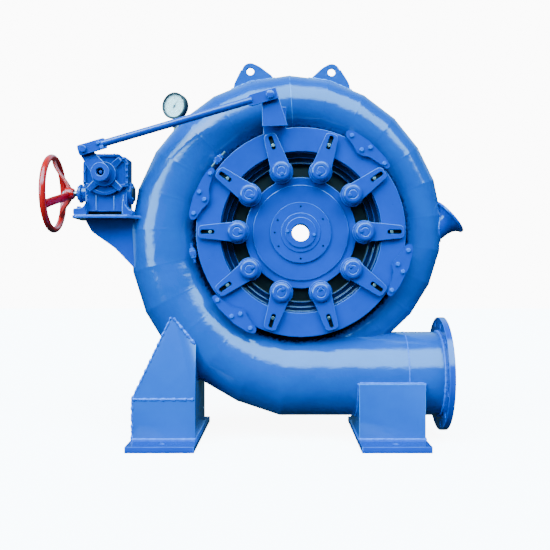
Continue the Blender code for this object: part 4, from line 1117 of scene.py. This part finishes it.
strip = math.sqrt(PIPE_RADIUS**2 - (RIGHT_TOP + PIPE_DROP) ** 2) + 1
front_corner = [(-626.5, FOOT_LOW, 176.5), (-626.5, KNEE, 176.5), (-486.5, -318, 138.5)]
front_slope = [(-478, -321, 138), (-413, -398, 148.5), (-394.5, -421, 150.5)]
foot_welds = [
    bead([(-626, KNEE, 176.5), (-394, KNEE, 176.5)], 5.5, 13, 0.4),
    bead([(-626, KNEE, -176.5), (-394, KNEE, -176.5)], 3.5, 7, 0.5),
    bead(front_corner, 4.0, 7, 0.5),
    bead(front_slope, 6.2, 12, 0.35),
    bead(base_line(-628, -392), 4.5),
    bead(base_line(215, 462), 4.5),
    *[bead([(218, RIGHT_TOP + 1, near), (460, RIGHT_TOP + 1, near)]) for near in (strip, -strip)],
    *[bead(hoop(163.5, x, 90, -96, -264), 4.5) for x in (214.5, 462.5)],
]
piece("foot_welds", joined(*foot_welds), crease=60)

# %% [markdown]
# The lifting eyes are plates 16 mm thick, welded across the top of the spiral, with a hole for a
# shackle's pin. The right one is the left one's mirror image.

# %% Lifting eyes
EYE_FOOT = np.array([(88, -85), (76, -40), (40, 9)])
EYE_FAR = np.array([(-34, 16), (-77, -30), (-97, -85)])
EYE_OUTLINE = np.vstack([EYE_FOOT, polar(np.linspace(52, 152, 9), 33), EYE_FAR])
EYE_CUTS = np.array([4, 6, 20] + [1] * 9 + [12, 12, 4])
eye_hole = turned([(0, -12), (19, -12), (15, -6.2), (15, 6.2), (19, 12), (0, 12)], None, 32)
for name, angle, circle, sense in (
    ("left_lifting_eye", 107.0, 668, 1), ("right_lifting_eye", 79.0, 647, -1),
):
    outline = softened((EYE_OUTLINE * (sense, 1))[::sense], EYE_CUTS[::sense], 4)
    place = (polar(angle, circle), (0, 0, 1), angle - 90)
    eye = carved(moved(plate(outline, -8, 8, 2), *place), moved(eye_hole, *place))
    piece(name + "_plate", eye, [name], CASING_BLUE)
    welds = []
    for near in (8.5, -8.5):
        path = at_height(np.outer(np.linspace(-93, 86, 60) * sense, (1, 0)), near)
        line = onto_tube(stand(path, *place), stand(path - (0, 150, 0), *place))
        welds.append(bead(line, 4.0, 6, 0.3))
    piece(name + "_welds", joined(*welds), finish=CASING_BLUE, crease=60)

# %% [markdown]
# The gearbox stands on a shelf of plate with a gusset under it, both welded to the spiral. The
# tube is taken out of both, so that they end in its wall.

# %% Bracket
shelf_corners = [(-861, -10), (-560, -10), (-560, 56), (-652, 150), (-861, 150)]
shelf = lying(softened(shelf_corners, np.array([6, 6, 6, 10, 30]), 6), 53, 65, 2.2)
gusset_corners = [
    (-826, 59), (-826, 46), (-802, 5), (-714, -57), (-637, -137), (-560, -150), (-560, 59),
]
gusset = plate(softened(gusset_corners, 6), 54, 66)
bracket = carved(united(shelf, gusset), first_half(-4, PIPE_START, COARSE))
piece("gearbox_bracket_plates", bracket, ["gearbox_bracket"])

# %% [markdown]
# The gearbox is a casting. Its front is a square cover with cut corners, a raised rim, ribs that
# run from the hub to the corners, and panels between them that lie 6 mm lower. Below the cover
# the body is narrower and stands on two feet, and the worm's bearings bulge out left and right.

# %% Gearbox
SHAFT, WORM = (-736, 217), (151, 75)
lower_arc = np.asarray(SHAFT) + polar(np.linspace(216, 320, 11), 77.5)
cover_corners = np.vstack([
    lower_arc, [(-648, 172), (-648, 262), (-680, 294), (-785, 294), (-817, 262), (-817, 175)],
])
cover_outline = softened(cover_corners, 8)
cover_rim = softened([(0, 122), (0, 140), (11, 140), (13, 130), (6, 122)], 1.4)
cover_hub = turned([(20.3, 120), (52, 120), (47, 145), (46, 158), (20.3, 158)], 3, 64)
ribs = []
for angle, far in ((44, 84), (224, 86), (317, 84), (137, 84)):
    taper = softened([(40, -14), (far, -11), (far, 11), (40, 14)], 5)
    ribs.append(moved(plate(taper, 126, 145, 4), SHAFT, spin=angle))
left_pad = [(-856, 65.3), (-804, 65.3), (-804, 122), (-815, 100), (-826, 92), (-856, 90)]
right_pad = [
    (-672, 65.3), (-632, 65.3), (-632, 84), (-646, 86), (-659, 104), (-664, 122), (-672, 122),
]
bearing_profile = [
    (10.3, -122), (20, -122), (24, -118), (25, -114), (36, -112), (37, -104), (31, -100),
    (33, -60), (10.3, -60),
]
right_bearing = turned([(0, 50), (41, 50), (41, 74.2), (0, 74.2)], 2, 56)
gearbox = joined(
    plate(cover_outline, 116, 134, 2),
    carried(cover_outline, cover_rim, True),
    moved(cover_hub, SHAFT),
    *ribs,
    block((-813, 80, 20), (-656, 286, 122), 10),
    *[block((x - 3, 82, 110), (x + 3, 142, 124.5), 2) for x in (-806, -770, -703, -668)],
    plate(softened(left_pad, 8, 4), 56, 138, 3),
    plate(softened(right_pad, 5, 4), 56, 138, 3),
    moved(turned(bearing_profile, 1.8, 56), (-732.5, *WORM), RIGHT),
    moved(right_bearing, (-732.5, *WORM), RIGHT),
)
# Painted shade: a near-black block fills the gap under the gearbox body, where shade falls.
underside = block((-806, 65.5, 26), (-664, 84, 98), 4)
piece("gearbox_underside", underside, finish=NEAR_BLACK_SHADE)
piece("gearbox_casting", gearbox, ["gearbox_housing"])

# %% [markdown]
# Small bolts hold the cover and the bearing caps, and four stand on the feet. A black disc on the
# right cap's end is painted shade along its edge.

# %% Gearbox bolts and cap
small_screw = bolt_head(9, 4, 0.8)


def round_worm(x, circle):
    """Four places round the worm's axis."""
    corners = polar(np.array([45, 135, 225, 315.0]), circle)
    return [(x, WORM[0] + y, WORM[1] + z) for y, z in corners]


rim_places = [(-652, y, 139.5) for y in (186, 209, 232, 255)]
rim_places += [(-812, y, 139.5) for y in (190, 226)]
rim_places += [(x, 289.5, 139.5) for x in (-700, -735, -770)] + [(-664, 276, 139.5)]
pad_places = [(x, y, near) for x, y in ((-838, 90.8), (-655, 87)) for near in (74, 118)]
gearbox_bolts = joined(
    scattered(small_screw, rim_places),
    scattered(small_screw, round_worm(-844.3, 30.5), (-1, 0, 0)),
    scattered(bolt_head(15, 7), pad_places, UP),
)
piece("gearbox_bolts", gearbox_bolts)
cap_profile = [(0, 0.3), (42, 0.3), (42, 13), (38, 17), (16, 17), (14, 15.5), (0, 15.5)]
cap = moved(turned(cap_profile, 1.5, 64), (-658, *WORM), RIGHT)
cap_screws = scattered(small_screw, round_worm(-641.4, 30), RIGHT)
piece("worm_cap_turned", joined(cap, cap_screws), ["worm_end_cap"])
# Painted shade: a black disc on the cap's end darkens its right edge.
dark_end_disc = turned([(0, 15.5), (30, 15.5), (30, 20), (26, 22.5), (0, 22.5)], 1.5, 48)
cap_dark_end = moved(dark_end_disc, (-658, *WORM), RIGHT)
piece("worm_cap_plug", cap_dark_end, finish=BLACK)

# %% [markdown]
# The crank is a hub with a recessed face, and a tapering plate that carries the rod's first pin.

# %% Crank
CRANK_PIN = (-796, 298)


def span_of(start, end):
    """Length and direction in degrees from one point to another."""
    across, up = np.subtract(end, start)
    return math.hypot(across, up), math.degrees(math.atan2(up, across))


crank_long, crank_turn = span_of(SHAFT, CRANK_PIN)
hub_profile = [
    (0, 164.5), (31, 164.5), (34, 170), (34, 214), (15.5, 214), (14.5, 203), (5, 203),
    (4, 205.5), (0, 205.5),
]
crank_bar = np.vstack([
    (crank_long, 0) + polar(np.linspace(-84, 84, 17), 22), polar(np.linspace(96, 264, 17), 33.5),
])
crank_pin = turned([(0, 193), (8, 193), (8, 226.2), (0, 226.2)], 0.8, 32)
pin_head = turned([(0, 222.2), (13.5, 222.2), (13.5, 228.5), (11.5, 230), (0, 230)], 0.8, 32)
crank = joined(
    turned(hub_profile, 1.8, 64),
    turned([(0, 122), (19.5, 122), (19.5, 170), (0, 170)], 1, 48),
    plate(crank_bar, 191, 203, 2),
    moved(crank_pin, (crank_long, 0)),
    moved(pin_head, (crank_long, 0)),
)
piece("crank_arm_built", moved(crank, SHAFT, spin=crank_turn), ["crank_arm"], body="crank")

# %% [markdown]
# The rod is a tube with a flat bar welded in at each end. Its second hole is long across the rod,
# since the linkage is open at that pivot, and the pin's head hides it.

# %% Link rod
rod_long, rod_turn = span_of(CRANK_PIN, ARM_PIN)
ROD_BACK, ROD_FRONT = 209, 221
first_flat = softened([(-20, -20), (86, -20), (86, 20), (-20, 20)], np.array([9, 4, 8, 9]), 4)
second_flat = np.array([(-88, -15), (-72, -21), (27, -21), (27, 21), (-72, 21), (-88, 13)])
flats = joined(
    plate(first_flat, ROD_BACK, ROD_FRONT, 2),
    plate(softened(second_flat + (rod_long, 0), 5), ROD_BACK, ROD_FRONT, 2),
)
open_slot = np.vstack([
    (rod_long - 0.5, 6.0) + polar(np.linspace(0, 180, 13), 9.6),
    (rod_long - 0.5, -3.0) + polar(np.linspace(180, 360, 13), 9.6),
])
rod_holes = joined(
    carried(open_slot, [(0, 200), (0, 230)]),
    turned([(0, 200), (8.5, 200), (8.5, 230), (0, 230)], None, 32),
)
tube_profile = [(0, 66), (13.5, 70), (13.5, rod_long - 70), (0, rod_long - 66)]
rod_tube = joined(
    moved(turned(tube_profile, 2, 40), (0, 0, 215), RIGHT),
    scattered(bolt_head(13, 5.5, 1), [(60, 6, ROD_FRONT), (68, -12, ROD_FRONT)]),
    bead([(86.5, -12, 220.5), (86.5, 12, 220.5)], 3.0),
    bead([(rod_long - 88.5, -12, 220.5), (rod_long - 88.5, 11, 220.5)], 3.0),
)
flats, rod_holes, rod_tube = [
    moved(part, CRANK_PIN, spin=rod_turn) for part in (flats, rod_holes, rod_tube)
]
piece("link_rod_ends", carved(flats, rod_holes), ["link_rod"], body="rod")
piece("link_rod_tube", rod_tube, body="rod")

# %% [markdown]
# The handwheel is a red casting with a round rim and three flat spokes that are dished towards
# the gearbox. A spoke is an oval section carried along a gentle S from the hub to the rim.

# %% Handwheel
WHEEL_X, HUB_RISE = -947.5, 61
turn = np.linspace(0, math.tau, 128, endpoint=False)[:, None]
round_rim = np.linspace(0, math.tau, 24, endpoint=False)
rim_out, rim_up = 137.8 + 12.2 * np.cos(round_rim), 12.7 * np.sin(round_rim)
rim = np.stack([rim_out * np.cos(turn), rim_out * np.sin(turn), rim_up + 0 * turn], axis=-1)
wheel_hub = [(10.3, 81), (19, 81), (24, 70), (24, 49), (19, 47), (10.3, 47)]


def spoke(degrees):
    """An oval section along out = 16 to 136 mm, height falling as (1 + cos) / 2."""
    run = np.linspace(0, 1, 24)[:, None]
    out, wide, thick = 16 + 120 * run, 16 + 1.5 * run, 8 - run
    height = HUB_RISE * (0.5 + 0.5 * np.cos(math.pi * run**0.85))
    oval = np.linspace(0, math.tau, 16, endpoint=False)
    across = np.sign(np.cos(oval)) * np.abs(np.cos(oval)) ** 0.7
    up = np.sign(np.sin(oval)) * np.abs(np.sin(oval)) ** 0.7
    grid = np.stack([out + 0 * across, wide * across, height + thick * up], axis=-1)
    return moved(skin(grid), spin=degrees)


spokes = [spoke(205 + 120 * k) for k in range(3)]
wheel = joined(skin(rim, along=True), turned(wheel_hub, 2, 48), *spokes)
wheel = moved(wheel, (WHEEL_X, *WORM), RIGHT)
piece("handwheel_casting", wheel, ["handwheel"], RED, "wheel")
worm_shaft = moved(turned([(0, 0), (10, 0), (10, 118), (0, 118)], 1, 40), (-891.5, *WORM), RIGHT)
piece("worm_shaft_turned", worm_shaft, ["worm_shaft"], STEEL, "wheel")
hub_nut = joined(bolt_head(17, 8, 1.5), turned([(0, 0), (5, 0), (5, 13), (0, 13)], 1, 20))
hub_nut = moved(hub_nut, (WHEEL_X + 47.5, *WORM), (-1, 0, 0))
piece("handwheel_nut", hub_nut, finish=STEEL, body="wheel")

# %% [markdown]
# The gauge is a common 100 mm one: a black case, a white dial with plain numbers, a thin needle
# and a pane that is nearly clear, with a faint mirror image on it. The dial is matt card, and the
# ink on it is a little rough.

# %% Gauge materials
dial_white, tree, shader, place = new_finish("white_printed_dial")
speck = node(tree, "TexNoise", Vector=place, Scale=120.0, Detail=2.0)
paper = node(tree, "Mix", COLOURS, in0=speck, in6="#FFEEDC", in7="#FAE4D0")
plug(tree, shader, Base_Color=paper.outputs[2], Roughness=0.5)
dial_ink, tree, shader, place = new_finish("black_dial_ink")
speck = node(tree, "TexNoise", Vector=place, Scale=300.0)
ink_rough = node(tree, "MapRange", Value=speck, in3=0.4, in4=0.6)
plug(tree, shader, Base_Color="#141414", Roughness=ink_rough)
clear_glass, tree, shader, place = new_finish("gauge_glass")
film = node(tree, "TexNoise", Vector=place, Scale=50.0)
plug(tree, shader, Base_Color=(1, 1, 1, 1), Alpha=0.06, IOR=1.45)
plug(tree, shader, Roughness=node(tree, "MapRange", Value=film, in3=0.0, in4=0.05))
print("gauge finishes", dial_white.name, dial_ink.name, clear_glass.name)

# %% [markdown]
# The gauge stands on a brass pipe and looks a little to the left. Its case, dial, marks and glass
# are made round one axis and placed together. Type becomes a mesh before it is placed, so that
# its points move as any other part's do.

# %% Gauge
GAUGE = (-487, 500, 12)
GAUGE_WAY = (-math.sin(math.radians(22)), 0.0, math.cos(math.radians(22)))
SCALE_START, SCALE_SWEEP = 225, 270
case_profile = [
    (0, -17), (46, -17), (50, -13), (50, 9), (52, 10), (52, 16.5), (47, 17), (43.7, 15.2),
    (43.7, 8.5), (0, 8.5),
]
dial_profile = [(0, 8.7), (43.2, 8.7), (43.2, 9.5), (0, 9.5)]
lens_profile = [(0, 14.2), (43.4, 14.2), (43.4, 15.2), (0, 15.2)]


def bar(start, end, wide, narrow, low, high, edge):
    """A thin flat bar along x, with a half width at each end."""
    outline = [(start, -wide), (end, -narrow), (end, narrow), (start, wide)]
    return plate(np.array(outline), low, high, edge)


def digits(text, size, place, height):
    """Flat type made a mesh."""
    curve = bpy.data.curves.new("digits", "FONT")
    curve.body, curve.size = text, size
    curve.align_x, curve.align_y = "CENTER", "CENTER"
    curve.extrude, curve.resolution_u = 0.0001, 3
    mesh = finished_mesh(placed("digits", curve))
    points = 1000 * values_of(mesh.vertices, "co", np.float32, 3).astype(float)
    return points + (*place, height), [list(face.vertices) for face in mesh.polygons]


marks = []
for k in range(41):
    long, half = (6.5, 0.7) if k % 5 == 0 else (3.5, 0.4)
    tick = bar(41 - long, 41, half, half, 9.5, 9.75, 0.1)
    marks.append(moved(tick, spin=SCALE_START - SCALE_SWEEP * k / 40))
needle = moved(bar(-11, 32, 1.2, 0.3, 11.2, 11.8, 0.2), spin=52)
marks += [needle, turned([(0, 9.5), (4.5, 9.5), (4, 13), (0, 13)], 0.6, 24)]
numbers = [
    digits(str(2 * k), 0.0080, polar(SCALE_START - SCALE_SWEEP * k / 8, 30), 9.6)
    for k in range(0, 9, 2)
]
for name, shape, stands_for, finish, slot in (
    ("gauge_case", turned(case_profile, 1, 72), ["pressure_gauge"], BLACK, "black_enamel"),
    ("gauge_dial", turned(dial_profile, 0.2, 72), (), dial_white, "white_dial"),
    ("gauge_marks", joined(*marks), (), dial_ink, "black_enamel"),
    ("gauge_numbers", joined(*numbers), (), dial_ink, "black_enamel"),
    ("gauge_glass", turned(lens_profile, 0.3, 72), (), clear_glass, "clear_glass"),
):
    piece(name, moved(shape, GAUGE, GAUGE_WAY), stands_for, finish)
stem_profile = [
    (0, 0), (8.5, 0), (8.5, 60), (13.5, 62), (13.5, 80), (9, 82), (9, 91.5), (0, 91.5),
]
gauge_stem = moved(turned(stem_profile, 1, 24), (GAUGE[0], GAUGE[1] - 144, GAUGE[2]), UP)
piece("gauge_stem", gauge_stem, ["gauge_pipe"], BRASS)
